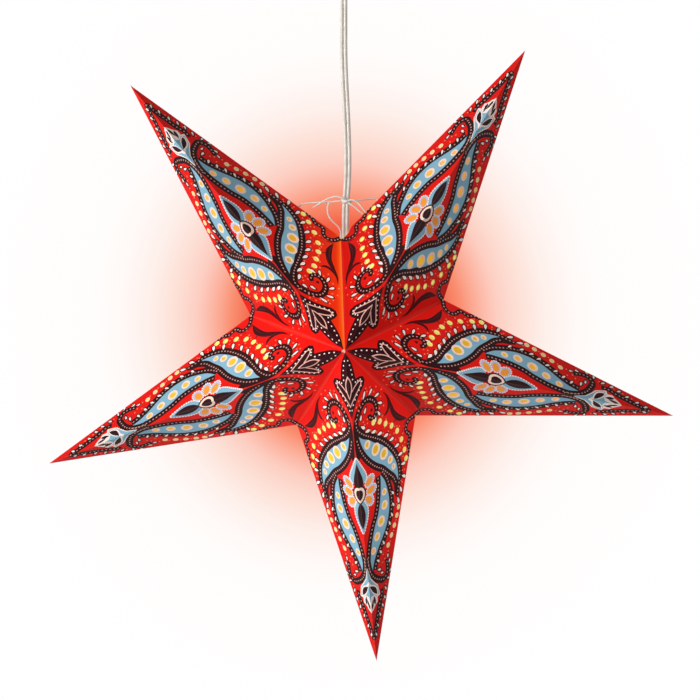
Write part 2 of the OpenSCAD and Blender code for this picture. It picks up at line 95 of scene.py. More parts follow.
def tube_mesh(name, line, outline_at, closed=False):
    """A tube along the line. outline_at(i, distance) gives the section's points, width first."""
    rings, travelled, work = [], 0, bmesh.new()
    last = len(line) - 1
    for i, place in enumerate(line):
        before = line[i - 1] if i or not closed else line[-1]
        after = line[(i + 1) % len(line)] if closed else line[min(i + 1, last)]
        if i == 0 and not closed:
            before = place
        along = (after - before).normalized()
        level = along.cross(Vector((0, 1, 0)))
        level = level.normalized() if level.length > 1e-4 else Vector((1, 0, 0))
        thick = along.cross(level)
        if i:
            travelled += (place - line[i - 1]).length
        rings.append([work.verts.new(place + a * level + b * thick)
                      for a, b in outline_at(i, travelled)])
    pairs = zip(rings, rings[1:] + rings[:1]) if closed else zip(rings, rings[1:])
    for ring, following in pairs:
        for k in range(len(ring)):
            m = (k + 1) % len(ring)
            work.faces.new((ring[k], ring[m], following[m], following[k]))
    if not closed:
        work.faces.new(rings[0][::-1])
        work.faces.new(rings[-1])
    bmesh.ops.recalc_face_normals(work, faces=work.faces)
    return mesh_piece(name, work)


def new_material(name, rough):
    material = bpy.data.materials.new(name)
    material.use_nodes = True
    shader = material.node_tree.nodes["Principled BSDF"]
    shader.inputs["Roughness"].default_value = rough
    return material, material.node_tree, shader


def feed(tree, node, inputs):
    """Joins a node's inputs to other nodes' outputs, or sets them to values."""
    for name, value in inputs.items():
        if isinstance(value, bpy.types.NodeSocket):
            tree.links.new(value, node.inputs[name])
        else:
            node.inputs[name].default_value = value


def new_node(tree, kind, inputs=None, **settings):
    node = tree.nodes.new("ShaderNode" + kind)
    for name, value in settings.items():
        setattr(node, name, value)
    feed(tree, node, inputs or {})
    return node


def own_place(tree):
    return new_node(tree, "TexCoord").outputs["Object"]


def maths(tree, operation, *values):
    return new_node(tree, "Math", dict(enumerate(values)), operation=operation).outputs["Value"]


def ramp(tree, value, stops, interpolation="LINEAR"):
    """Colours that follow a value, each at its own place from 0 to 1."""
    node = new_node(tree, "ValToRGB", {"Fac": value})
    node.color_ramp.interpolation = interpolation
    elements = node.color_ramp.elements
    elements[0].position, elements[1].position = stops[0][0], stops[-1][0]
    for at, colour in stops[1:-1]:
        elements.new(at)
    for element, (at, colour) in zip(elements, stops):
        element.color = (*colour[:3], 1)
    return node.outputs["Color"]


def relief(tree, height, strength, depth):
    bump = new_node(tree, "Bump", {"Strength": strength, "Distance": depth, "Height": height})
    return bump.outputs["Normal"]


def mottled(name, dark, light, rough, spread, scale, strength, stretch=(1, 1, 1), metal=0):
    """A finish whose tone, gloss and relief vary with one fine noise."""
    material, tree, shader = new_material(name, rough)
    place = new_node(tree, "Mapping", {"Vector": own_place(tree), "Scale": stretch}).outputs["Vector"]
    noise = new_node(tree, "TexNoise", {"Vector": place, "Scale": scale, "Detail": 5}).outputs["Fac"]
    gloss = new_node(tree, "MapRange", {"Value": noise, "To Min": rough - spread, "To Max": rough + spread})
    feed(tree, shader, {
        "Base Color": ramp(tree, noise, [(0.3, dark), (0.7, light)]), "Metallic": metal,
        "Roughness": gloss.outputs["Result"], "Normal": relief(tree, noise, strength, 0.0003)})
    return material


def paint(piece, material):
    piece.data.materials.clear()
    piece.data.materials.append(material)


def settle(piece, material, slot, *nodes_replaced):
    paint(piece, material)
    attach(piece, "root")
    for node in nodes_replaced:
        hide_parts(node)


def twin_cores(i, travelled):
    """Section of two cores that meet in a groove."""
    core = FLEX_THICKNESS / 2
    apart = FLEX_WIDTH / 2 - core
    groove = math.radians(28)
    right = [(apart + core * math.cos(a), core * math.sin(a))
             for a in np.linspace(-math.pi + groove, math.pi - groove, 15)]
    return right + [(-x, -y) for x, y in right]


flex_line = smooth_line([Vector(p) / 1000 for p in FLEX_ROUTE], 0.004)
flex = tube_mesh("flex_twin", flex_line, twin_cores)
white_pvc = mottled("white_pvc", (0.66, 0.61, 0.53), (0.80, 0.76, 0.69), 0.24, 0.05, 140, 0.2)
settle(flex, white_pvc, "flex_sheath", "flex")


# Cotton strings tie the star to its flex. Each is laid from three strands, goes through a punched
# hole beside the top valley and is stopped inside by its own knot. One more holds the loop below.
STRING_WIDTH = 0.0015
STRING_LAY = 0.0042
STAR_CENTRE = Vector((0.005, 0, -0.360))
LEFT_STRING = [
    (-50, 0.7, 112.9), (-48.6, 2.4, 114.9), (-47.1, 4.1, 116.9), (-45.9, 5.5, 118.6), (-44.2, 6, 120.4),
    (-41, 5.2, 121.8), (-35, 3.5, 122.4), (-28, 1.2, 122.8), (-21, -1, 123.2), (-15, -2.6, 123.6),
    (-10.5, -3, 123.9), (-7.5, -2.8, 124)]
RIGHT_STRING = [
    (30.4, 0.7, 119.6), (28.7, 2.4, 121.3), (26.9, 4.1, 123.1), (25.5, 5.5, 124.5), (23.6, 6, 125.6),
    (20, 5, 126), (15, 3, 125.6), (10, 0.6, 125), (6, -1.3, 124.4), (1.8, -2.5, 124)]
LOOP_STRING = [
    (-18.4, -2.4, 122.6), (-19.4, -3.2, 118.6), (-19.3, -3.6, 114), (-18, -3.6, 110), (-15.4, -3.2, 106.5),
    (-12.4, -2.4, 103.6), (-9.8, -1.2, 101), (-8.2, -0.2, 97.6), (-7.8, 0.3, 93), (-7.8, 0.3, 86)]
TAILS = {
    "left": [(-4.7, -5.2, 125.4), (-7.5, -5.8, 127.2), (-11.5, -5.6, 128), (-16, -5, 127.2),
             (-21.5, -4.4, 125), (-26.5, -4, 121.8), (-30.5, -3.8, 119.4)],
    "right": [(-1.3, -5.2, 122.6), (1.5, -5.8, 121.2), (4.6, -5.4, 119), (7.6, -5, 116.4),
              (10.2, -4.6, 114.2)],
    "short": [(-0.9, -5.4, 124.7), (3, -6, 125), (7, -6, 123), (10.6, -5.6, 119.4), (13.6, -5.2, 115.6)]}


def laid_strands(i, travelled):
    """Section of a string of three strands that turns once in each lay."""
    turn = travelled / STRING_LAY * math.tau
    points = []
    for k in range(18):
        a = math.tau * k / 18
        reach = STRING_WIDTH / 2 * (0.9 + 0.1 * math.cos(3 * (a - turn)))
        points.append((reach * math.cos(a), reach * math.sin(a)))
    return points


def string_piece(name, route):
    line = smooth_line([STAR_CENTRE + Vector(p) / 1000 for p in route], 0.0005)
    return tube_mesh(name, line, laid_strands), line


def tight_knot(name, middle, size, side, other, way, bulge, count):
    """A small round knot, in which the string goes over and under itself in a trefoil."""
    loop = []
    for k in range(count):
        a = math.tau * k / count
        loop.append(middle + size * ((math.sin(a) + 2 * math.sin(2 * a)) * side
                                     + (math.cos(a) - 2 * math.cos(2 * a)) * other
                                     - bulge * math.sin(3 * a) * way))
    return tube_mesh(name, loop, laid_strands, closed=True)


cotton, tree, shader = new_material("cotton_string", 0.92)
place = own_place(tree)
fibre = new_node(tree, "TexNoise", {"Vector": place, "Scale": 2600, "Detail": 4}).outputs["Fac"]
soil = new_node(tree, "TexNoise", {"Vector": place, "Scale": 120}).outputs["Fac"]
tone = maths(tree, "MULTIPLY_ADD", fibre, 0.45, maths(tree, "MULTIPLY", soil, 0.55))
feed(tree, shader, {"Base Color": ramp(tree, tone, [(0, (0.86, 0.80, 0.72)), (1, (0.98, 0.95, 0.90))]),
                    "Normal": relief(tree, fibre, 0.5, 0.0002)})

tie_left, left_line = string_piece("tie_left", LEFT_STRING)
tie_right, right_line = string_piece("tie_right", RIGHT_STRING)
tie_loop, loop_line = string_piece("tie_loop", LOOP_STRING)
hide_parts("tie_string_left")
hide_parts("tie_string_right")
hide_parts("tie_string_loop")

stoppers = []
for name, route in (("stopper_left", LEFT_STRING), ("stopper_right", RIGHT_STRING)):
    way = (Vector(route[1]) - Vector(route[0])).normalized()
    side = way.orthogonal().normalized()
    stoppers.append(tight_knot(
        name, STAR_CENTRE + Vector(route[0]) / 1000, 0.00042, side, way.cross(side), way, 1.6, 48))

KNOT = Vector((0.002, 0, -0.236))
TURNS, TURN_STEPS, TURN_PITCH, SQUEEZE_GAP = 3, 144, 0.85 * STRING_WIDTH, 0.00015
turn_radius = FLEX_WIDTH / 2 + SQUEEZE_GAP + STRING_WIDTH / 2
coil = []
for k in range(TURN_STEPS + 1):
    a = -math.pi / 2 + math.tau * TURNS * k / TURN_STEPS
    rise = (k / TURN_STEPS - 0.5) * TURNS * TURN_PITCH
    coil.append(KNOT + Vector((turn_radius * math.cos(a), turn_radius * math.sin(a), rise)))
string_turns = tube_mesh("string_turns", coil, laid_strands)
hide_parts("tie_knot")
knot_bead = tight_knot("knot_bead", KNOT + Vector((0, -turn_radius - STRING_WIDTH / 2, 0)), 0.00043,
                       Vector((1, 0, 0)), Vector((0, 0, 1)), Vector((0, 1, 0)), 1.5, 72)

FRAY_RADIUS, FRAYS = 0.00011, 7
fray_section = [(FRAY_RADIUS * math.cos(a), FRAY_RADIUS * math.sin(a)) for a in (0, 1.26, 2.51, 3.77, 5.03)]
tails = []
for name, route in TAILS.items():
    tail, tail_line = string_piece("tail_" + name, route)
    end, before = tail_line[-1], tail_line[-4]
    ahead = (end - before).normalized()
    frayed = []
    for k in range(FRAYS):
        a = math.tau * k / FRAYS
        spread = Vector((math.cos(a), 0.6 * math.sin(a), math.sin(a))) * 0.0004
        strand = smooth_line([end - ahead * 0.0008 + spread * 0.5, end + ahead * 0.0008 + spread * 1.2,
                              end + ahead * 0.0022 + spread * (2 + 0.5 * math.cos(3 * a))], 0.0006)
        frayed.append(tube_mesh("fray", strand, lambda i, travelled: fray_section))
    bpy.ops.object.select_all(action="DESELECT")
    for piece in frayed + [tail]:
        piece.select_set(True)
    bpy.context.view_layer.objects.active = tail
    bpy.ops.object.join()
    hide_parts("tie_ends")
    tails.append(tail)

for piece in [tie_left, tie_right, tie_loop, string_turns, knot_bead] + stoppers + tails:
    settle(piece, cotton, "string")


# Each arm is one sheet of card, printed, die-cut with small windows, and folded along two ridges
# and two sides. Flaps along the open seams are turned in and glued to the next arm's flaps. The
# print is a mehndi ornament: leaf pods with beaded ropes round a rosette, a lotus and a palmette.
CARD = 0.5
TIP_REACH, VALLEY_REACH, PEAK_HEIGHT = 300, 92, 100
ARM_ANGLES = {"upper_left": 126, "upper_right": 54, "right": -18, "bottom": -90, "left": 198}
STAR_ROLL = 4.8
FLAP_WIDTH, FLAP_BARE, FLAP_GAP, GLUE = 12, 10, 3, 0.1
STRING_HOLE, STRING_HOLE_SHARE, STRING_HOLE_INSET = 2.6, 0.2, 5
OPENING_X, OPENING_Y, OPENING_RADIUS, OPENING_SIDES = 0.0015, 0.0025, 0.006, 12
peak = Vector((0, -PEAK_HEIGHT, 0))
tip = Vector((0, 0, TIP_REACH))
valley = VALLEY_REACH * Vector((math.sin(math.pi / 5), 0, math.cos(math.pi / 5)))
ridge_dir = (tip - peak).normalized()
across_dir = ((valley - peak) - (valley - peak).dot(ridge_dir) * ridge_dir).normalized()
out_dir = across_dir.cross(ridge_dir)


def on_panel(p):
    """Place of a point of the front right panel, across from the ridge and up along it."""
    return Vector(((p - peak).dot(across_dir), (p - peak).dot(ridge_dir)))


panel_tip, panel_valley = on_panel(tip), on_panel(valley)
star_foot = on_panel(Vector((0, 0, 0)))
inner_share = 1 - CARD / peak.dot(out_dir)

POD_WINDOWS = [
    (11.6, 203.3, 2.2), (18.6, 191.9, 2.5), (26.4, 179.9, 3.35), (33.2, 166.6, 2.85), (34.6, 153.7, 2.2),
    (51.2, 136.0, 1.85), (47.4, 127.1, 2.25), (39.2, 117.0, 3.8), (28.4, 107.5, 4.2), (17.4, 97.7, 2.6)]
BORDER_WINDOWS = [
    (70.3, 136.9), (68.9, 127.4), (65.8, 115.4), (60.8, 104.3),
    (53.5, 95.8), (45.2, 89.8), (37.6, 84.1), (28.6, 80.9)]


def linear(*shown):
    """A colour written as it looks, in the shader's scale."""
    return [((c / 255 + 0.055) / 1.055) ** 2.4 if c > 10 else c / 255 / 12.92 for c in shown] + [1]


INKS = {
    "red": linear(228, 18, 8), "brown": linear(40, 3, 6), "bead": linear(206, 150, 142),
    "blue": linear(134, 180, 202), "white": linear(255, 236, 226), "rim": linear(255, 220, 202),
    "orange": linear(252, 158, 58), "yellow": linear(248, 228, 124), "dark": linear(44, 5, 14),
    "maroon": linear(86, 9, 15), "pink": linear(240, 184, 170), "paper": linear(240, 228, 214),
    "speck": linear(248, 128, 96), "lilac": linear(184, 194, 222)}
marks = []
def anticlockwise(points):
    area = sum(a[0] * b[1] - b[0] * a[1] for a, b in zip(points, points[1:] + points[:1]))
    return points if area > 0 else points[::-1]


def mark(ink, points):
    marks.append((ink, anticlockwise(points)))


def drawn(points, step=2.0):
    """A smooth line on the panel."""
    return [(p.x, p.y) for p in smooth_line([Vector((u, v, 0)) for u, v in points], step)]


def oval(place, long, wide, turn=0, sides=10, pointed=False):
    """An oval, or a teardrop whose point shows the way it is turned."""
    c, s = math.cos(turn), math.sin(turn)
    points = []
    for k in range(sides):
        a = math.tau * k / sides
        x, y = long / 2 * math.cos(a), wide / 2 * math.sin(a)
        if pointed:
            y *= min(1, 1.2 * math.sin(a / 2))
        points.append((place[0] + c * x - s * y, place[1] + s * x + c * y))
    return points


def leaf(start, end, wide, bow=0.0, sides=7):
    """A pointed leaf from start to end, bowed sideways by a share of its length."""
    du, dv = end[0] - start[0], end[1] - start[1]
    middle, left, right = [], [], []
    for k in range(sides + 1):
        t = k / sides
        off = bow * 4 * t * (1 - t)
        middle.append((start[0] + du * t - dv * off, start[1] + dv * t + du * off))
    long = math.hypot(du, dv)
    for k in range(1, sides):
        t = k / sides
        w = wide / 2 * math.sin(math.pi * t ** 0.85)
        nu, nv = -dv / long, du / long
        left.append((middle[k][0] + nu * w, middle[k][1] + nv * w))
        right.append((middle[k][0] - nu * w, middle[k][1] - nv * w))
    return [middle[0]] + right + [middle[-1]] + left[::-1]


def sides_of(line, widths):
    """Left and right edges of a band along the line, its width read off evenly spaced widths."""
    count = len(line)
    left, right = [], []
    for i, (u, v) in enumerate(line):
        a, b = line[max(i - 1, 0)], line[min(i + 1, count - 1)]
        long = math.hypot(b[0] - a[0], b[1] - a[1]) or 1
        nu, nv = -(b[1] - a[1]) / long, (b[0] - a[0]) / long
        w = float(np.interp(i / (count - 1), np.linspace(0, 1, len(widths)), widths)) / 2
        left.append((u + nu * w, v + nv * w))
        right.append((u - nu * w, v - nv * w))
    return left, right


def stroke(ink, points, widths, step=2.0):
    line = drawn(points, step)
    left, right = sides_of(line, widths)
    mark(ink, left + right[::-1])
    return line


def along(line, pitch):
    """Places and headings at every pitch along a line."""
    found, travelled, due = [], 0, pitch * 0.5
    for a, b in zip(line, line[1:]):
        long = math.hypot(b[0] - a[0], b[1] - a[1])
        while long > 0 and due <= travelled + long:
            t = (due - travelled) / long
            found.append(((a[0] + (b[0] - a[0]) * t, a[1] + (b[1] - a[1]) * t),
                          math.atan2(b[1] - a[1], b[0] - a[0])))
            due += pitch
        travelled += long
    return found


def beads(line, pitch, long, wide, ink="bead", sides=6):
    for place, turn in along(line, pitch):
        mark(ink, oval(place, long, wide, turn, sides))


BEAD_ROW = {"pitch": 3.7, "long": 1.9, "wide": 1.6}


def rope(points, widths, step=2.0):
    """A dark band with a row of beads along its middle."""
    beads(stroke("brown", points, widths, step), **BEAD_ROW)


def teardrop(place, long, wide, turn):
    """A white drop with a dark line round it."""
    a = math.radians(turn)
    middle = (place[0] + 0.5 * math.cos(a), place[1] + 0.5 * math.sin(a))
    mark("brown", oval(middle, long + 3.4, wide + 2.3, a, 12, pointed=True))
    mark("white", oval(place, long, wide, a, 12, pointed=True))


POD_BAND, POD_BEADS = 14, 7.2
bead_rows, pods = [], []


def pod(inner, outer, beaded):
    """A blue leaf pod with a dark band round it. A row of beads runs in the band where it is beaded."""
    one, two = drawn(inner), drawn(outer)
    for side, turn, row in ((one, 1, beaded[0]), (two, 0, beaded[1])):
        mark("brown", side + sides_of(side, [POD_BAND])[turn][::-1])
        if row:
            bead_rows.append(sides_of(side, [POD_BEADS])[turn])
    pods.append(one + two[::-1][1:-1])


# The two leaf pods, the rope that runs along them and curls at the ridge, and the scroll beside the bud
upper_inner = [(7.6, 221.5), (6.2, 212), (8.1, 202), (11.4, 192), (17.2, 180), (23.1, 171), (28, 158),
               (30.8, 143), (31.2, 134.5)]
upper_outer = [(7.6, 221.5), (11.7, 213), (18.6, 204), (25.5, 197), (32.3, 189), (37.2, 180), (39.6, 172),
               (40.5, 164), (39.9, 157), (37.3, 145), (33.7, 138), (31.2, 134.5)]
lower_inner = [(55.9, 152.5), (52.8, 145), (46.7, 138), (37.6, 128), (27.4, 120), (18.1, 110), (10.8, 98),
               (6.8, 85)]
lower_outer = [(55.9, 152.5), (56.6, 145), (55.7, 135), (51.5, 125), (45.3, 116), (37, 107), (26.8, 100),
               (19.6, 94), (12.5, 90), (6.8, 85)]
outer_rope = [(52.4, 167.6), (54.4, 161), (57.8, 153), (59.2, 146), (59.2, 140), (57.6, 130), (52.4, 120),
              (46.2, 112), (38.9, 104), (29.8, 97), (20.5, 91), (12.3, 85), (6.1, 78), (5, 72), (8, 65),
              (13.8, 59), (20.8, 56),
              (27.8, 58), (33, 63), (34.5, 70), (32.1, 75), (28.1, 76.5), (24.1, 74), (23.5, 71)]
small_scroll = [(2, 205), (3.8, 220), (8.9, 230), (16, 236), (22, 239), (28, 235), (29.4, 228), (28.4, 221)]
mark("brown", [(49.4, 150), (56, 149), (57.5, 156), (56, 163), (53.4, 168), (50, 167), (49.2, 160)])
mark("brown", [(0.5, 76), (1.6, 70.5), (3, 68.6), (8, 76), (8, 104), (4, 108), (1.2, 102), (0.5, 94)])
pod(lower_inner, lower_outer, (True, False))
pod(upper_inner, upper_outer, (True, True))
rope(outer_rope, [4, 6.8, 7.4, 7.6, 7.6, 7.4, 7.2, 7, 6.6, 6, 4.6])
rope(small_scroll, [6, 7.4, 7, 6.6, 6, 4.6])
for row in bead_rows:
    beads(row, **BEAD_ROW)
for edge in pods:
    mark("blue", edge)
mark("maroon", oval((27.6, 68.2), 3.4, 3.4, 0, 10))

# The V at the tip and the lotus bud in it
tip_band = [(0, 293), (4.9, 279), (8.7, 270), (12.5, 261), (16.8, 254), (18.2, 247)]
rope(tip_band, [5.6, 6.4, 6.2, 4.6])
for place in ((3.7, 288.5), (7.4, 280.7), (12, 271.5), (17, 264.3), (20.9, 257.8), (23.5, 249.5)):
    teardrop(place, 4.8, 2.3, 250)
for place, turn in (((28.6, 241.5), 200), ((32.8, 235.2), 160), ((32.6, 225.2), 120), ((20.8, 231.5), 20),
                    ((31, 219), 100)):
    teardrop(place, 4.2, 2.2, turn)
mark("white", [(-3, 262), (0, 263.5), (3.2, 261.6), (7, 258), (10.4, 256.6), (10.6, 251.4), (14.8, 251.2),
               (12.8, 240), (7.8, 233.6), (3.6, 227.5), (1.2, 218), (0, 215), (-3, 216)])
mark("blue", [(-3, 250), (0, 252), (1.6, 247), (5.8, 246.6), (9.4, 250), (13.6, 249.6), (11.8, 240.4),
              (7, 234.2), (3, 228), (0.8, 218.6), (0, 216), (-3, 217)])
mark("white", [(13.8, 249.4), (14.6, 250.8), (11.6, 246.6), (0, 233.5), (-3, 231), (-3, 228), (0, 229.4)])
mark("dark", leaf((1.4, 260.6), (4.4, 250.6), 3.0))
mark("dark", leaf((6.8, 257.6), (5.6, 247.6), 3.2))
mark("white", leaf((11.6, 250.2), (0.2, 233.6), 7.4, 0.06))
mark("dark", leaf((10.8, 248.6), (1.1, 235.4), 5.0, 0.06))

# The rosette, its petals and its two dark leaves on the ridge
top_rim = drawn([(0, 179.5), (2.4, 177.4), (4.9, 173), (8, 167.4), (9.8, 161), (9.2, 154), (5.5, 148)])
mark("blue", [(-3, 178)] + top_rim + [(-3, 148)])
beads(top_rim, 2.6, 2.3, 1.8, "white", 7)
mark("dark", drawn([(0, 174.6), (2.8, 171.4), (5, 166.5), (5.7, 161), (4.4, 154.6), (1.6, 149.6), (0, 148)])
     + [(-3, 160)])
low_rim = drawn([(0, 102.4), (2.6, 106.4), (5.9, 112.3), (9.2, 118), (11.6, 123), (12.2, 128), (9, 131)])
mark("blue", low_rim + [(-3, 131), (-3, 106)])
beads(low_rim, 2.6, 2.3, 1.8, "white", 7)
mark("dark", drawn([(0, 107.6), (1.6, 112), (4, 118.6), (6.2, 125), (6.8, 130.6), (5, 134)])
     + [(-3, 134), (-3, 112)])
PETALS = (((12.3, 150.1), 45), ((16.2, 142.0), 4), ((14.8, 132.9), -20))
for place, turn in PETALS:
    a = math.radians(turn)
    rim = oval((place[0] + 0.9 * math.cos(a), place[1] + 0.9 * math.sin(a)), 14.8, 10.4, a, 16)
    mark("lilac", rim)
    beads(rim + rim[:1], 2.5, 1.7, 1.4, "white", 7)
for place, turn in PETALS:
    mark("orange", oval(place, 11.2, 6.6, math.radians(turn), 12))
mark("dark", oval((0, 140.2), 18.4, 18.4, 0, 28))
mark("rim", oval((0, 140.2), 15.2, 15.2, 0, 24))
mark("dark", oval((0, 140.2), 10.0, 10.4, 0, 20))

# Teardrops and dots along the ropes, and the row of printed dots beside the upper pod
for place, turn in (((53.6, 172), 262), ((58.6, 163), 252), ((64.6, 152.5), 215), ((65.4, 140), 190),
                    ((62.2, 128.7), 180), ((58.3, 118.2), 178), ((51.6, 108.5), 178), ((44.2, 101.2), 180),
                    ((35.7, 95.4), 184), ((27.5, 89.8), 186), ((19.4, 85.2), 190), ((13.7, 79), 218)):
    teardrop(place, 6.8, 3.3, turn)
for place, turn, long in (((12.2, 69), 290, 4.6), ((18.8, 64.8), 300, 5), ((32, 79.4), 290, 4.8),
                          ((37.2, 75.7), 240, 5.4), ((39.8, 66.8), 205, 6.2), ((36.4, 57.8), 172, 5.8),
                          ((28.2, 51.2), 140, 6.2), ((19.2, 50.5), 118, 7)):
    teardrop(place, long + 0.8, 2.7, turn)
for place, turn in (((16.9, 226), 205), ((16.6, 216.4), 225), ((21.4, 209.4), 235), ((26.8, 202.6), 245),
                    ((32.2, 195.4), 252), ((38, 188), 247), ((42.4, 181.4), 250), ((45.6, 172.4), 243),
                    ((46.4, 160.6), 232)):
    teardrop(place, 5.2, 2.5, turn)
SPECKS = [
    (60.2, 155), (63.6, 146), (66, 133), (62.8, 122.4), (57.4, 111.6), (49.8, 103.2), (40.4, 97.2),
    (31.8, 91.6), (23.6, 86.2), (20.4, 78), (15, 74.4), (38.6, 71.6), (41.6, 61.6), (33, 53),
    (23.6, 48.6), (7.6, 57), (11.6, 52.6), (24.6, 214), (31.2, 208), (46, 191.4), (51.2, 175),
    (20.6, 74.2), (16.4, 77.6), (34.4, 84.2), (43.2, 92.6), (48.4, 99), (56, 104.6), (62.6, 112.4),
    (67, 122.4), (70.4, 120.6), (72.6, 130), (68.6, 110.6), (64.6, 101.4), (60.8, 99.6), (57.8, 98.6),
    (70.8, 104.4), (50.4, 92), (46.6, 86), (41.8, 80.6), (44.8, 71.8), (43.6, 55.4), (36.6, 49.6),
    (4.4, 68.6), (9.6, 60.6), (12.4, 57), (16.4, 52.2), (22.6, 45.2), (28.4, 46.8), (26.4, 219.6),
    (22.6, 221.6), (32, 214.6), (36.4, 206.6), (42.6, 198.6), (47.6, 190), (15.2, 268), (19.4, 259.6),
    (11, 276.2), (24.6, 246), (66.6, 146.6), (61.6, 157.4), (57.6, 177)]
for place in SPECKS:
    mark("speck", oval(place, 1.7, 1.7, 0, 6))
for place in ((33, 208.8), (39, 201.4), (44.5, 194), (49.5, 186), (53, 179)):
    mark("rim", oval(place, 5.2, 5.2, 0, 12))
    mark("yellow", oval(place, 4.0, 4.0, 0, 12))

# The scalloped rope and the feathers in the corner at the valley
rope([(73.4, 140), (75.4, 134.5), (76.4, 129.5), (74.8, 124.5), (77.2, 120.6), (78.8, 116.4), (74.8, 112.4),
      (73.4, 108), (76.2, 103.6), (81, 101.4), (88.4, 101.6)], [4.6, 4.8], 1.4)
mark("maroon", drawn([(76.5, 98.8), (70, 98), (63, 95.4), (57, 89), (53.4, 81), (52, 73), (49.6, 65.6),
                      (45, 58)])
     + drawn([(45, 58), (51.4, 64.4), (55, 71.6), (57.4, 79), (62, 85.8), (68.4, 92), (76.5, 98.8)])[1:-1])
stroke("dark", [(74, 97.8), (66, 95.2), (59.8, 89.2), (55.8, 81), (54, 73)], [0.5, 1.9, 1.7, 0.6])
stroke("dark", [(72, 95.4), (65, 90.4), (59.6, 84), (56.2, 76), (52.6, 67.4)], [0.4, 1.5, 1.3, 0.5])
mark("maroon", drawn([(43, 82), (48.6, 81.6), (52.2, 78), (53.4, 72), (51.6, 65), (46.6, 59.6)])
     + drawn([(46.6, 59.6), (49.8, 66), (50.4, 72), (48.6, 77.6), (43, 82)])[1:-1])
stroke("dark", [(45, 81.4), (49.6, 79.2), (51.4, 73), (50.6, 66), (47.4, 60.6)], [0.4, 1.1, 0.5])
stroke("maroon", [(76.5, 99), (71, 103.6), (67.6, 110)], [1.2, 0.4])
stroke("maroon", [(60, 92), (56, 94.6), (49.6, 93.6)], [1.0, 0.4])

# The palmette on the ridge near the star's peak
lobe = [(0, 65), (3.4, 58.6), (8.4, 51.6), (15.2, 45.2), (20.4, 41.2), (22.4, 36.6), (20.2, 32.2),
        (15.4, 30.6), (10.2, 30.4), (9.6, 26), (8.6, 20.4), (7.2, 14.8), (4.8, 9.8), (1.8, 5.2), (0, 1)]
mark("dark", lobe + [(-3, 1), (-3, 62)])
outer_vein = [(-0.6, 53.6), (3.4, 49.6), (8.4, 45.4), (13.6, 41.2), (16.6, 38.2), (16.6, 35.6),
              (14.2, 34.6), (10.4, 36), (6.6, 38.2), (3.6, 40.4)]
inner_vein = [(-0.6, 46.2), (1.6, 43), (3.4, 38.8), (3.9, 34.6), (2.8, 29.6), (-0.4, 24.2)]
for vein in (outer_vein, inner_vein):
    stroke("pink", vein, [1.2, 1.2], 1.2)
for place in ((1.6, 57), (3.8, 52.8), (6.8, 49), (10, 45.8), (13.4, 42.8), (16.6, 39.8), (18.2, 36.4),
              (16.4, 33.8), (13, 33.6), (9.8, 33.6), (6.3, 29.6), (6.2, 25), (5.4, 20.2), (4.2, 15.4),
              (2.4, 10.4)):
    mark("white", oval(place, 1.9, 1.5, math.radians(50), 7))

# A pale ring is printed round each window
for (u, v, r), ring in zip(POD_WINDOWS, (3.7, 4.4, 5.4, 4.6, 3.5, 3.0, 3.9, 5.9, 6.1, 4.3)):
    mark("rim", oval((u, v), 2 * ring, 2 * ring, 0, 18))
for place in BORDER_WINDOWS:
    mark("yellow", oval(place, 5.7, 5.7, 0, 14))

windows = [oval((u, v), 2 * r, 2 * r, 0, 16) for u, v, r in POD_WINDOWS]
windows += [oval(place, 4.2, 4.2, 0, 12) for place in BORDER_WINDOWS]
corners = [(0, 0), tuple(panel_valley), tuple(panel_tip)]
FOLD_STRIP = 0.8


def border_of(u, v):
    """Which fold or seam a point of the panel's outline lies on."""
    if abs(u) < 1e-3:
        return "ridge"
    fold = panel_valley - panel_tip
    if abs((u - panel_tip.x) * fold.y - (v - panel_tip.y) * fold.x) / fold.length < 1e-3:
        return "fold"
    if abs(u * panel_valley.y - v * panel_valley.x) / panel_valley.length < 1e-3:
        return "seam"
    return None


def triangles(outlines, lines=()):
    """Cuts the plane along all outlines and gives each triangle's list of outlines it lies in."""
    points, edges, faces = [], [], []
    for outline in outlines:
        faces.append(list(range(len(points), len(points) + len(outline))))
        points += outline
    for a, b in lines:
        edges.append((len(points), len(points) + 1))
        points += [a, b]
    found = delaunay_2d_cdt([Vector(p) for p in points], edges, faces, 1, 1e-4, True)
    return found[0], found[2], found[5]


def printed_panel(holes):
    """Outer face with its inks, inner face and the cut edges between them, in panel places."""
    cuts = windows + holes
    t = (panel_valley - panel_tip).normalized() * FOLD_STRIP
    strip = [((FOLD_STRIP, 1.5), (FOLD_STRIP, panel_tip.y - 4)),
             ((panel_tip.x + t.y + 4 * t.x, panel_tip.y - t.x + 4 * t.y),
              (panel_valley.x + t.y - 1.2 * t.x, panel_valley.y - t.x - 1.2 * t.y))]
    points, faces, inside = triangles([corners] + [m[1] for m in marks] + cuts, strip)
    first_cut = 1 + len(marks)
    outer, inks = [], []
    for face, ids in zip(faces, inside):
        if 0 in ids and max(ids) < first_cut:
            outer.append(face)
            inks.append("red" if max(ids) == 0 else marks[max(ids) - 1][0])
    used = {(a, b) for face in outer for a, b in zip(face, face[1:] + face[:1])}
    rim = [(a, b) for a, b in used if (b, a) not in used]
    inner_at = {}
    for edge in rim:
        for i in edge:
            p = Vector(points[i])
            inner_at[i] = star_foot + inner_share * (p - star_foot) if border_of(*p) else p
    inner_corners = [tuple(star_foot + inner_share * (Vector(c) - star_foot)) for c in corners]
    in_points, in_faces, in_ids = triangles(
        [inner_corners] + cuts, [(tuple(inner_at[a]), tuple(inner_at[b])) for a, b in rim])
    inner = [f for f, ids in zip(in_faces, in_ids) if list(ids) == [0]]
    return [tuple(p) for p in points], outer, inks, rim, inner_at, [tuple(p) for p in in_points], inner


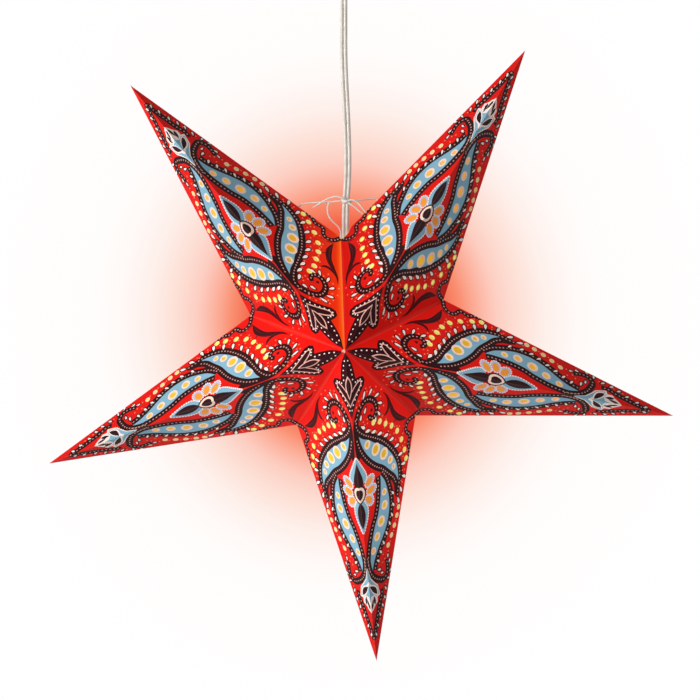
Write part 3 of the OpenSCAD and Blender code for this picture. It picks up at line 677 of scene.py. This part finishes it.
def arm_matrix(angle):
    return (Matrix.Translation(STAR_CENTRE) @ Matrix.Rotation(math.radians(-STAR_ROLL), 4, "Y")
            @ Matrix.Rotation(math.radians(90 - angle), 4, "Y") @ Matrix.Scale(0.001, 4))


plain_panel = printed_panel([])


def holes_for(arm, side, face):
    """The opening for the flex and the string hole, where they cut this panel."""
    if (arm, side) not in (("upper_left", 0), ("upper_right", 1)):
        return []
    mirror = Matrix.Diagonal((-1 if side else 1, -1 if face else 1, 1, 1))
    back = mirror @ arm_matrix(ARM_ANGLES[arm]).inverted()
    opening = []
    for k in range(OPENING_SIDES):
        a = math.tau * k / OPENING_SIDES
        low, high = (back @ (Vector((OPENING_X, OPENING_Y, z))
                             + OPENING_RADIUS * Vector((math.cos(a), math.sin(a), 0))) for z in (-0.3, -0.2))
        t = (peak - low).dot(out_dir) / (high - low).dot(out_dir)
        opening.append(tuple(on_panel(low + t * (high - low))))
    holes = [anticlockwise(opening)]
    if face:
        fold_dir = (tip - valley).normalized()
        spot = (valley + STRING_HOLE_SHARE * (tip - valley)
                + STRING_HOLE_INSET * out_dir.cross(fold_dir))
        holes.append(oval(tuple(on_panel(spot)), STRING_HOLE, STRING_HOLE, 0, 12))
    return holes


# A flap tapers at the peak and at the valley. Its corners lie out along the seam plane and up or down it.
seam_length = math.hypot(VALLEY_REACH, PEAK_HEIGHT)
seam_angle = math.radians(54)
along_seam = Vector((math.cos(seam_angle), 0, math.sin(seam_angle)))
into_arm = Vector((-math.sin(seam_angle), 0, math.cos(seam_angle)))
flap_start = FLAP_BARE + FLAP_WIDTH * PEAK_HEIGHT / seam_length


def seam_y(s, inset):
    return (PEAK_HEIGHT * (s - VALLEY_REACH) + inset * seam_length) / VALLEY_REACH


def seam_s(y, inset):
    return (VALLEY_REACH * (PEAK_HEIGHT + y) - inset * seam_length) / PEAK_HEIGHT


FLAP = [(FLAP_BARE, seam_y(FLAP_BARE, CARD / 4)), (seam_s(-FLAP_GAP, CARD / 4), -FLAP_GAP),
        (seam_s(-FLAP_GAP, FLAP_WIDTH), -FLAP_GAP), (flap_start, seam_y(flap_start, FLAP_WIDTH))]


def arm_piece(arm, angle):
    """The four printed panels of an arm, joined along its folds, and its four flaps."""
    work = bmesh.new()
    ink_layer = work.loops.layers.float_color.new("ink")
    fold_layer = work.verts.layers.float.new("fold")
    hang = arm_matrix(angle)
    for side in (0, 1):
        for face in (0, 1):
            holes = holes_for(arm, side, face)
            points, outer, inks, rim, inner_at, in_points, inner = (
                printed_panel(holes) if holes else plain_panel)
            place = hang @ Matrix.Diagonal((-1 if side else 1, -1 if face else 1, 1, 1))
            turned = side != face

            def vert(p, depth):
                made = work.verts.new(place @ (peak + p[0] * across_dir + p[1] * ridge_dir - depth * out_dir))
                made[fold_layer] = 1.0 if border_of(*p) and depth == 0 else 0.0
                return made

            def add(corners_of, ink):
                if len(set(corners_of)) < len(corners_of):
                    return
                made = work.faces.new(corners_of[::-1] if turned else corners_of)
                for loop in made.loops:
                    loop[ink_layer] = INKS[ink]

            front = {i: vert(points[i], 0) for f in outer for i in f}
            for f, ink in zip(outer, inks):
                add([front[i] for i in f], ink)
            back = {i: vert(in_points[i], CARD) for f in inner for i in f}
            for f in inner:
                add([back[i] for i in reversed(f)], "paper")
            edge = {i: vert(inner_at[i], CARD) for e in rim for i in e}
            for a, b in rim:
                where = border_of(*points[a]), border_of(*points[b])
                if where[0] == where[1] and where[0] in ("ridge", "fold"):
                    continue
                if set(where) <= {"ridge", "fold", None} and None not in where:
                    continue
                add([front[b], front[a], edge[a], edge[b]], "paper")
            sheets = [[work.verts.new(place @ (s * along_seam + Vector((0, y, 0)) + depth * into_arm))
                       for s, y in FLAP] for depth in (GLUE / 2, GLUE / 2 + CARD)]
            for k in range(4):
                m = (k + 1) % 4
                add([sheets[0][k], sheets[0][m], sheets[1][m], sheets[1][k]], "paper")
            add(sheets[0][::-1], "paper")
            add(sheets[1], "paper")
    bmesh.ops.remove_doubles(work, verts=work.verts, dist=0.000002)
    return mesh_piece("card_" + arm, work, smooth=False)


def paper_grain():
    """Fibres and soft dents of paper, as a height and a shade."""
    group = bpy.data.node_groups.new("paper_grain", "ShaderNodeTree")
    sockets = {"Fibre Scale": "INPUT", "Dent Scale": "INPUT", "Height": "OUTPUT", "Shade": "OUTPUT"}
    for name, way in sockets.items():
        group.interface.new_socket(name=name, in_out=way, socket_type="NodeSocketFloat")
    given, put = group.nodes.new("NodeGroupInput"), group.nodes.new("NodeGroupOutput")
    place = own_place(group)
    fibres = new_node(group, "TexNoise", {
        "Vector": place, "Scale": given.outputs["Fibre Scale"], "Detail": 6, "Roughness": 0.65})
    dents = new_node(group, "TexNoise", {
        "Vector": place, "Scale": given.outputs["Dent Scale"], "Detail": 2})
    fibre, dent = fibres.outputs["Fac"], dents.outputs["Fac"]
    mixed = maths(group, "MULTIPLY_ADD", fibre, 0.5, maths(group, "MULTIPLY", dent, 0.5))
    shade = new_node(group, "MapRange", {"Value": mixed, "To Min": 0.86, "To Max": 1.12})
    feed(group, put, {"Height": maths(group, "MULTIPLY_ADD", dent, 6, fibre),
                      "Shade": shade.outputs["Result"]})
    return group


def star_place():
    """Distance from the nearest seam, places across and out along an arm, and the turn from upright."""
    group = bpy.data.node_groups.new("star_place", "ShaderNodeTree")
    for name in ("Seam", "Across", "Out", "Turn"):
        group.interface.new_socket(name=name, in_out="OUTPUT", socket_type="NodeSocketFloat")
    put = group.nodes.new("NodeGroupOutput")
    from_centre = new_node(group, "VectorMath", {0: own_place(group), 1: STAR_CENTRE}, operation="SUBTRACT")
    upright = new_node(group, "VectorRotate", {
        "Vector": from_centre.outputs["Vector"], "Angle": math.radians(STAR_ROLL)}, rotation_type="Y_AXIS")
    flat = new_node(group, "VectorMath", {0: upright.outputs["Vector"], 1: (1, 0, 1)}, operation="MULTIPLY")
    reach = new_node(group, "VectorMath", {0: flat.outputs["Vector"]}, operation="LENGTH").outputs["Value"]
    parts = new_node(group, "SeparateXYZ", {"Vector": flat.outputs["Vector"]})
    turn = maths(group, "ARCTAN2", parts.outputs["X"], parts.outputs["Z"])
    from_seam = maths(group, "PINGPONG", turn, math.pi / 5)
    from_ridge = maths(group, "SUBTRACT", math.pi / 5, from_seam)
    feed(group, put, {
        "Turn": turn,
        "Seam": maths(group, "MULTIPLY", reach, maths(group, "SINE", from_seam)),
        "Across": maths(group, "MULTIPLY", reach, maths(group, "SINE", from_ridge)),
        "Out": maths(group, "MULTIPLY", reach, maths(group, "COSINE", from_ridge))})
    return group


def near_place(tree, centre, near, far, most, interpolation="LINEAR"):
    """A mask that is at its most close to a place and 0 far from it."""
    away = new_node(tree, "VectorMath", {0: own_place(tree), 1: centre}, operation="DISTANCE")
    return new_node(tree, "MapRange", {
        "Value": away.outputs["Value"], "From Min": near, "From Max": far, "To Min": most, "To Max": 0},
        interpolation_type=interpolation).outputs["Result"]


def blended(tree, way, first, second, share=1):
    return new_node(tree, "Mix", {"Factor": share, "A": first, "B": second},
                    data_type="RGBA", blend_type=way).outputs["Result"]


LAMP = (0.0025, 0, -0.405)
BARE_SPOT = STAR_CENTRE + Vector((-0.0012, -0.0995, -0.0009))
grain_group, star_group = paper_grain(), star_place()
printed_card, tree, shader = new_material("printed_card", 0.5)
ink = new_node(tree, "Attribute", attribute_name="ink").outputs["Color"]
fold = new_node(tree, "Attribute", attribute_name="fold").outputs["Fac"]
grain = new_node(tree, "Group", node_tree=grain_group)
feed(tree, grain, {"Fibre Scale": 900, "Dent Scale": 28})
where = new_node(tree, "Group", node_tree=star_group)
# The print is rubbed a little along the folds, and off in one small spot beside the peak.
rubbed = maths(tree, "MULTIPLY_ADD", fold, 0.05, near_place(tree, BARE_SPOT, 0.0012, 0.0021, 0.9))
toned = blended(tree, "MULTIPLY", ink, grain.outputs["Shade"])
worn = blended(tree, "MIX", toned, linear(244, 196, 172), rubbed)
# Painted glow: the card emits its own colours in a pool round the lamp's place, and some sides glow more
# than others, clockwise from the bottom, standing for the flaps and the bulb's place.
SIDE_GLOW = (0.25, 0.39, 0.37, 0.18, 1, 0, 0.13, 0.73, 0.13, 0.6, 0.6)
painted_lamp_glow = blended(tree, "MULTIPLY", worn, near_place(tree, LAMP, 0.06, 0.22, 0.62, "SMOOTHSTEP"))
round_share = new_node(tree, "MapRange", {
    "Value": where.outputs["Turn"], "From Min": -math.pi, "From Max": math.pi}).outputs["Result"]
side_glow = ramp(tree, round_share, [(k / 10, (glow, glow, glow)) for k, glow in enumerate(SIDE_GLOW)],
                 "CONSTANT")
painted_side_glow = blended(tree, "MULTIPLY", painted_lamp_glow, side_glow)
# A painted yellow-orange glow beside the seams left of the top valley stands for light passing the single
# card there.
LEAK_REACH = 0.03
painted_leak = ramp(tree, maths(tree, "DIVIDE", where.outputs["Seam"], LEAK_REACH), [
    (0, (0.36, 0.20, 0.010)), (0.08, (0.22, 0.080, 0.002)), (0.16, (0.12, 0.030, 0)),
    (0.5, (0.06, 0.014, 0)), (1, (0, 0, 0))])
left_of_top = maths(tree, "COMPARE", where.outputs["Turn"], -math.pi / 10, math.pi / 10)
redness = new_node(tree, "SeparateColor", {"Color": worn}).outputs["Red"]
painted_seam_glow = blended(tree, "MULTIPLY", painted_leak, maths(tree, "MULTIPLY", left_of_top, redness))
feed(tree, shader, {
    "Base Color": worn, "Emission Color": blended(tree, "ADD", painted_side_glow, painted_seam_glow), "Emission Strength": 1,
    "Specular IOR Level": 0.12, "Normal": relief(tree, grain.outputs["Height"], 0.25, 0.0004)})

for arm, angle in ARM_ANGLES.items():
    settle(arm_piece(arm, angle), printed_card, "printed_card", "arm_" + arm)


# Thin yellow tissue is folded like the card and pasted behind its windows. It has a painted glow: it
# emits its own colour, more orange near the lamp. The small windows near the seams have a single, paler
# layer.
tissue, tree, shader = new_material("lit_tissue", 0.85)
painted_glow_tint = ramp(tree, near_place(tree, LAMP, 0.06, 0.26, 1, "SMOOTHSTEP"),
            [(0, linear(228, 160, 50)), (1, linear(228, 178, 30))])
where = new_node(tree, "Group", node_tree=star_group)
limit = maths(tree, "MULTIPLY_ADD", where.outputs["Out"], 0.5, -0.0215)
beside_seam = maths(tree, "GREATER_THAN", where.outputs["Across"], limit)
layers = blended(tree, "MIX", painted_glow_tint, linear(236, 224, 110), beside_seam)
grain = new_node(tree, "Group", node_tree=grain_group)
feed(tree, grain, {"Fibre Scale": 420, "Dent Scale": 60})
toned = blended(tree, "MULTIPLY", layers, grain.outputs["Shade"])
# Painted glow: the tissue emits its own toned colour.
feed(tree, shader, {"Base Color": toned, "Emission Color": toned, "Emission Strength": 0.42,
                    "Normal": relief(tree, grain.outputs["Height"], 0.3, 0.0003)})
for arm in ARM_ANGLES:
    paint(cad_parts["tissue_" + arm], tissue)


# The lampholder hangs in the star on its flex. Its cap and skirt are white moulded plastic and screw
# together round a ceramic insulator. A side screw in the cap's nipple clamps the flex.
HOLDER = (0.0025, 0, -0.310)


def turned(name, profile, place, sides=64):
    """A round piece: a ring is drawn, then extruded and scaled from corner to corner of the profile."""
    x, y, z = place
    radius, height = profile[0]
    bpy.ops.mesh.primitive_circle_add(
        vertices=sides, radius=radius / 1000, location=(x, y, z + height / 1000))
    piece = bpy.context.object
    piece.name = name
    bpy.ops.object.mode_set(mode="EDIT")
    for wide, low in profile[1:]:
        bpy.ops.mesh.extrude_region_move(TRANSFORM_OT_translate={"value": (0, 0, (low - height) / 1000)})
        bpy.ops.transform.resize(
            value=(wide / radius, wide / radius, 1), center_override=(x, y, z + low / 1000))
        radius, height = wide, low
    bpy.ops.mesh.select_all(action="SELECT")
    bpy.ops.mesh.remove_doubles(threshold=0.000002)
    bpy.ops.mesh.fill_holes(sides=0)
    bpy.ops.mesh.normals_make_consistent(inside=False)
    bpy.ops.object.mode_set(mode="OBJECT")
    bpy.ops.object.transform_apply(location=True)
    bpy.ops.object.shade_smooth_by_angle(angle=math.radians(35))
    piece.select_set(False)
    return piece


holder_plastic = mottled("holder_plastic", (0.78, 0.76, 0.70), (0.86, 0.84, 0.79), 0.36, 0.06, 700, 0.12)
cap = turned("cap_shell", [
    (3.5, 0), (5.6, 0), (6, -0.4), (6, -1.6), (5.6, -1.9), (5.6, -6.4), (6, -6.8), (6, -7.7), (7.6, -8),
    (8, -8.3), (13.2, -13.5), (13.8, -14.2), (14, -15), (14, -25.4), (13.7, -26), (12.3, -26), (12.2, -25.6),
    (12.2, -14), (6, -9.8), (3.5, -9.8)], HOLDER)
settle(cap, holder_plastic, "holder_plastic", "holder_cap")
skirt = turned("skirt_shell", [
    (11.9, -20.1), (12.05, -20.3), (12.05, -26.1), (13.7, -26.1), (14, -26.5), (14, -28.6), (13.5, -29),
    (13.5, -30.6), (14, -31), (13.5, -32.2), (14, -33.4), (13.5, -34.6), (14, -35.8), (13.5, -37),
    (14, -38.2), (13.5, -39.4), (14, -40.6), (13.5, -41.8), (14, -43), (13.7, -44), (13.7, -53.5),
    (14, -54), (14, -55.4), (13.5, -56), (12.6, -56), (12.2, -55.6), (12.2, -27.8), (10.3, -27.8),
    (10.3, -20.3)], HOLDER)
settle(skirt, holder_plastic, "holder_plastic", "holder_skirt")
RIBS, RIB_CIRCLE, RIB_MIDDLE = 40, 0.01405, -0.0204
ribs = []
for k in range(RIBS):
    a = math.tau * (k + 0.5) / RIBS
    bpy.ops.mesh.primitive_cube_add(size=1, scale=(0.0008, 0.0011, 0.0084), rotation=(0, 0, a), location=(
        HOLDER[0] + RIB_CIRCLE * math.cos(a), RIB_CIRCLE * math.sin(a), HOLDER[2] + RIB_MIDDLE))
    ribs.append(bpy.context.object)
for rib in ribs:
    rib.select_set(True)
bpy.ops.object.join()
cap_ribs = bpy.context.object
cap_ribs.name = "cap_ribs"
bpy.ops.object.transform_apply(location=True, rotation=True, scale=True)
bpy.ops.object.modifier_add(type="BEVEL")
cap_ribs.modifiers[0].width = 0.0002
bpy.ops.object.modifier_apply(modifier=cap_ribs.modifiers[0].name)
cap_ribs.select_set(False)
settle(cap_ribs, holder_plastic, "holder_plastic")

white_ceramic = mottled("white_ceramic", (0.74, 0.70, 0.62), (0.86, 0.83, 0.76), 0.18, 0.06, 260, 0.1)
paint(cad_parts["insulator"], white_ceramic)
turned_brass = mottled(
    "turned_brass", (0.52, 0.36, 0.13), (0.78, 0.58, 0.27), 0.3, 0.1, 420, 0.15, (1, 1, 6), 1)
for name in ("holder_terminals", "centre_contact", "rose_terminals", "grip_screw"):
    paint(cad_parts[name], turned_brass)
zinc_steel = mottled("zinc_steel", (0.42, 0.42, 0.41), (0.66, 0.66, 0.63), 0.34, 0.1, 900, 0.15, metal=1)
paint(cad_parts["terminal_screws"], zinc_steel)


# The metal screw shell is a sleeve of thin nickelled steel with the thread rolled into it. Its rim
# lies under the insulator's flange and is held there by the skirt.
THREAD_PITCH, THREAD_DEPTH, THREAD_FADE, THREAD_SIDES = 2.82, 0.44, 1.5, 40


def rolled_thread(name, place, radius, wall, top, bottom):
    """A thin sleeve with a rounded thread rolled into it. Its outer crests have the given radius."""
    heights = np.arange(top, bottom, -THREAD_PITCH / 6).tolist() + [bottom]
    line = [(radius, h) for h in heights] + [(radius - wall, h) for h in heights[::-1]]
    work, rings = bmesh.new(), []
    for reach, h in line:
        ring = []
        for k in range(THREAD_SIDES):
            a = math.tau * k / THREAD_SIDES
            fade = min(1, (top - h) / THREAD_FADE, (h - bottom) / THREAD_FADE)
            r = reach - THREAD_DEPTH / 2 * fade * (1 - math.cos(math.tau * h / THREAD_PITCH - a))
            ring.append(work.verts.new((place[0] + r * math.cos(a) / 1000, place[1] + r * math.sin(a) / 1000,
                                        place[2] + h / 1000)))
        rings.append(ring)
    for ring, following in zip(rings, rings[1:] + rings[:1]):
        for k in range(THREAD_SIDES):
            m = (k + 1) % THREAD_SIDES
            work.faces.new((ring[k], ring[m], following[m], following[k]))
    bmesh.ops.recalc_face_normals(work, faces=work.faces)
    return mesh_piece(name, work)


nickelled = mottled(
    "nickelled_steel", (0.56, 0.55, 0.52), (0.74, 0.73, 0.70), 0.27, 0.09, 600, 0.12, (1, 1, 5), 1)
screw_shell = rolled_thread("threaded_shell", HOLDER, 7.65, 0.4, -28.4, -46)
settle(screw_shell, nickelled, "shell_metal", "screw_shell")
shell_rim = turned("shell_rim", [
    (7.3, -28.02), (8.4, -28.02), (8.57, -28.2), (8.4, -28.4), (7.3, -28.4), (7.3, -28.02)], HOLDER)
settle(shell_rim, nickelled, "shell_metal")


# The bulb is a round LED lamp: a threaded cap with a black insulator and a solder dot, a white
# plastic body and an opal globe. It is lit by its globe's own emission; the light in the windows is painted
# on the tissue and card.
bulb_cap = rolled_thread("bulb_cap", HOLDER, 6.95, 0.4, -31.3, -49.2)
settle(bulb_cap, nickelled, "shell_metal", "bulb")
black_glass = mottled("black_glass", (0.012, 0.012, 0.013), (0.035, 0.033, 0.032), 0.14, 0.05, 500, 0.1)
cap_insulator = turned("cap_insulator", [
    (6.5, -31.7), (6.5, -31.3), (3.2, -30.3), (3, -30.5), (3, -31.7), (6.5, -31.7)], HOLDER)
settle(cap_insulator, black_glass, "opal_bulb")
solder_dot = turned("solder_dot", [
    (0.2, -29.25), (1.6, -29.35), (2.6, -29.8), (2.9, -30.6), (0.2, -30.7)], HOLDER, 32)
settle(solder_dot, zinc_steel, "shell_metal")
body_plastic = mottled("bulb_body_plastic", (0.80, 0.79, 0.76), (0.88, 0.87, 0.85), 0.42, 0.06, 800, 0.1)
bulb_body = turned("bulb_body", [
    (6.4, -49), (7.1, -49), (7.4, -49.4), (8, -50.6), (10.4, -53.4), (11, -54.4), (11.2, -55.4),
    (20.0, -74.4), (20.2, -75.2), (19.6, -75.5), (18.4, -75.5), (9.6, -55.4), (6.4, -50)], HOLDER)
settle(bulb_body, body_plastic, "opal_bulb")
opal, tree, shader = new_material("opal_globe", 0.32)
haze = new_node(tree, "TexNoise", {"Vector": own_place(tree), "Scale": 45}).outputs["Fac"]
warmth = ramp(tree, haze, [(0, (1, 0.72, 0.42)), (1, (1, 0.84, 0.60))])
feed(tree, shader, {"Base Color": warmth, "Emission Color": warmth, "Emission Strength": 1.6})
GLOBE_RADIUS, GLOBE_MIDDLE = 22.5, -84.7
globe_arc = [(GLOBE_RADIUS * math.cos(a), GLOBE_MIDDLE + GLOBE_RADIUS * math.sin(a))
             for a in np.radians(np.arange(22, -90, -6))]
globe = turned("bulb_globe", [(19.4, -75.6), (20.4, -75.7)] + globe_arc + [(0.4, -107.2)], HOLDER)
settle(globe, opal, "opal_bulb")


# The ceiling rose: a white moulded cover with a rounded rim screws onto a base plate, which is
# screwed to the ceiling and holds the supply terminals. A ribbed grip holds the flex in the cover.
CEILING = (0, 0, 0)
DOME_MIDDLE, DOME_RADIUS, ROSE_WALL = 9.067, 39.067, 2
rose_plastic = mottled("rose_plastic", (0.78, 0.77, 0.73), (0.84, 0.83, 0.80), 0.3, 0.05, 520, 0.1)
outer_dome = [(r, DOME_MIDDLE - math.sqrt(DOME_RADIUS ** 2 - r ** 2)) for r in (
    36.9, 36, 34.6, 33, 31, 28.8, 26.4, 24, 21.4, 18.8, 16.2, 13.6, 11.4)]
inner_dome = [(r, DOME_MIDDLE - math.sqrt((DOME_RADIUS - ROSE_WALL) ** 2 - r ** 2)) for r in (
    5.45, 9, 13, 17, 21, 25, 28.5, 31.5, 34, 35.6)]
cover_rim = [(37.2, -0.1), (38.2, -0.2), (38.5, -0.8), (38.4, -1.8), (37.9, -2.4), (37.3, -2.6)]
cover_hole = [(11, -29.2), (10.8, -29.7), (10.2, -30.1), (7, -30.5), (6.2, -30.6), (5.6, -30.4), (5.45, -30)]
inner_rim = [(36.1, -0.3), (36.4, -0.1), (37.2, -0.1)]
cover = turned("cover_dome", cover_rim + outer_dome + cover_hole + inner_dome + inner_rim, CEILING, 96)
settle(cover, rose_plastic, "rose_plastic", "rose_cover")
collar = turned(
    "cover_collar", [(17.15, -5.3), (19.15, -5.3), (19.15, -23.2), (17.15, -24.2), (17.15, -5.3)], CEILING)
settle(collar, rose_plastic, "rose_plastic")
nose = []
for k in range(5):
    z, r = -31.4 - 2 * k, 5.25 - 0.15 * k
    nose += [(r, z), (r, z - 0.9), (r - 0.5, z - 1.1), (r - 0.55, z - 1.8)]
grip = turned("ribbed_grip", [(3.4, -24.98), (7.8, -24.98), (8, -25.2), (8, -26.9), (5.3, -26.95)] + nose
              + [(4.45, -41.4), (4.3, -41.9), (3.8, -42), (3.4, -41.8), (3.4, -24.98)], CEILING)
settle(grip, rose_plastic, "rose_plastic", "rose_grip")
for name in ("rose_base", "rose_terminal_block"):
    paint(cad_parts[name], rose_plastic)


# A plain pale wall and floor stand behind and under the lantern. A soft lamp shines from the left and
# a weaker one from the right. The lantern's red glow on the wall is painted: a red ring in the wall's own
# emission, shown to the camera and in reflections.
bpy.ops.mesh.primitive_plane_add(size=14, location=(0, 0, -1.9))
floor = bpy.context.object
floor.name = "floor"
bpy.ops.mesh.primitive_plane_add(size=9, location=(0, 2.2, 0), rotation=(math.pi / 2, 0, 0))
wall = bpy.context.object
wall.name = "wall"
PALE = (0.9, 0.89, 0.89, 1)
white, tree, shader = new_material("white_floor", 0.9)
rays = new_node(tree, "LightPath").outputs
feed(tree, shader, {"Base Color": PALE, "Emission Color": (1, 1, 1, 1),
                    "Emission Strength": maths(tree, "MULTIPLY", rays["Is Camera Ray"], 0.5)})
paint(floor, white)
pale, tree, shader = new_material("pale_wall", 0.9)
rounder = new_node(tree, "Mapping", {"Vector": own_place(tree), "Scale": (1, 0.93, 1)}).outputs["Vector"]
away = new_node(tree, "VectorMath", {0: rounder, 1: (-0.088, -0.503, 0)}, operation="DISTANCE")
# Painted light: the lantern's red glow, a ring of colour on the wall that fades out from the star.
painted_glow_ring = ramp(tree, away.outputs["Value"], [(at, linear(*colour)) for at, colour in (
    (0, (238, 70, 46)), (0.2, (240, 78, 52)), (0.238, (244, 104, 74)), (0.287, (250, 144, 114)),
    (0.325, (252, 176, 155)), (0.372, (253, 206, 194)), (0.43, (253, 225, 215)), (0.49, (254, 239, 234)),
    (0.566, (255, 249, 247)), (0.64, (255, 253, 252)), (1, (255, 255, 255)))])
painted_glow_shader = new_node(tree, "Emission", {"Color": painted_glow_ring})
rays = new_node(tree, "LightPath").outputs
direct = maths(tree, "MAXIMUM", rays["Is Camera Ray"], rays["Is Glossy Ray"])
either = new_node(tree, "MixShader", {"Fac": direct, 1: shader.outputs["BSDF"], 2: painted_glow_shader.outputs["Emission"]})
feed(tree, shader, {"Base Color": PALE})
feed(tree, tree.nodes["Material Output"], {"Surface": either.outputs["Shader"]})
paint(wall, pale)


def soft_lamp(place, watts, size):
    """A square lamp that looks at the star."""
    bpy.ops.object.light_add(type="AREA", location=place)
    lamp = bpy.context.object
    lamp.data.energy = watts
    lamp.data.size = size
    lamp.rotation_euler = (Vector((0, 0, -0.36)) - lamp.location).to_track_quat("-Z", "Y").to_euler()


soft_lamp((-2.3, -1.5, 0.1), 63, 1.4)
soft_lamp((1.9, -1.6, 0.2), 3, 1.6)
world = bpy.data.worlds.new("pale_sky")
bpy.context.scene.world = world
world.use_nodes = True
tree = world.node_tree
rays = new_node(tree, "LightPath").outputs
direct = maths(tree, "MAXIMUM", rays["Is Camera Ray"], rays["Is Transmission Ray"])
strength = new_node(tree, "MapRange", {"Value": direct, "To Min": 0.38, "To Max": 1})
feed(tree, tree.nodes["Background"], {"Color": (1, 0.98, 0.97, 1), "Strength": strength.outputs["Result"]})
bpy.context.scene.view_settings.view_transform = "Standard"
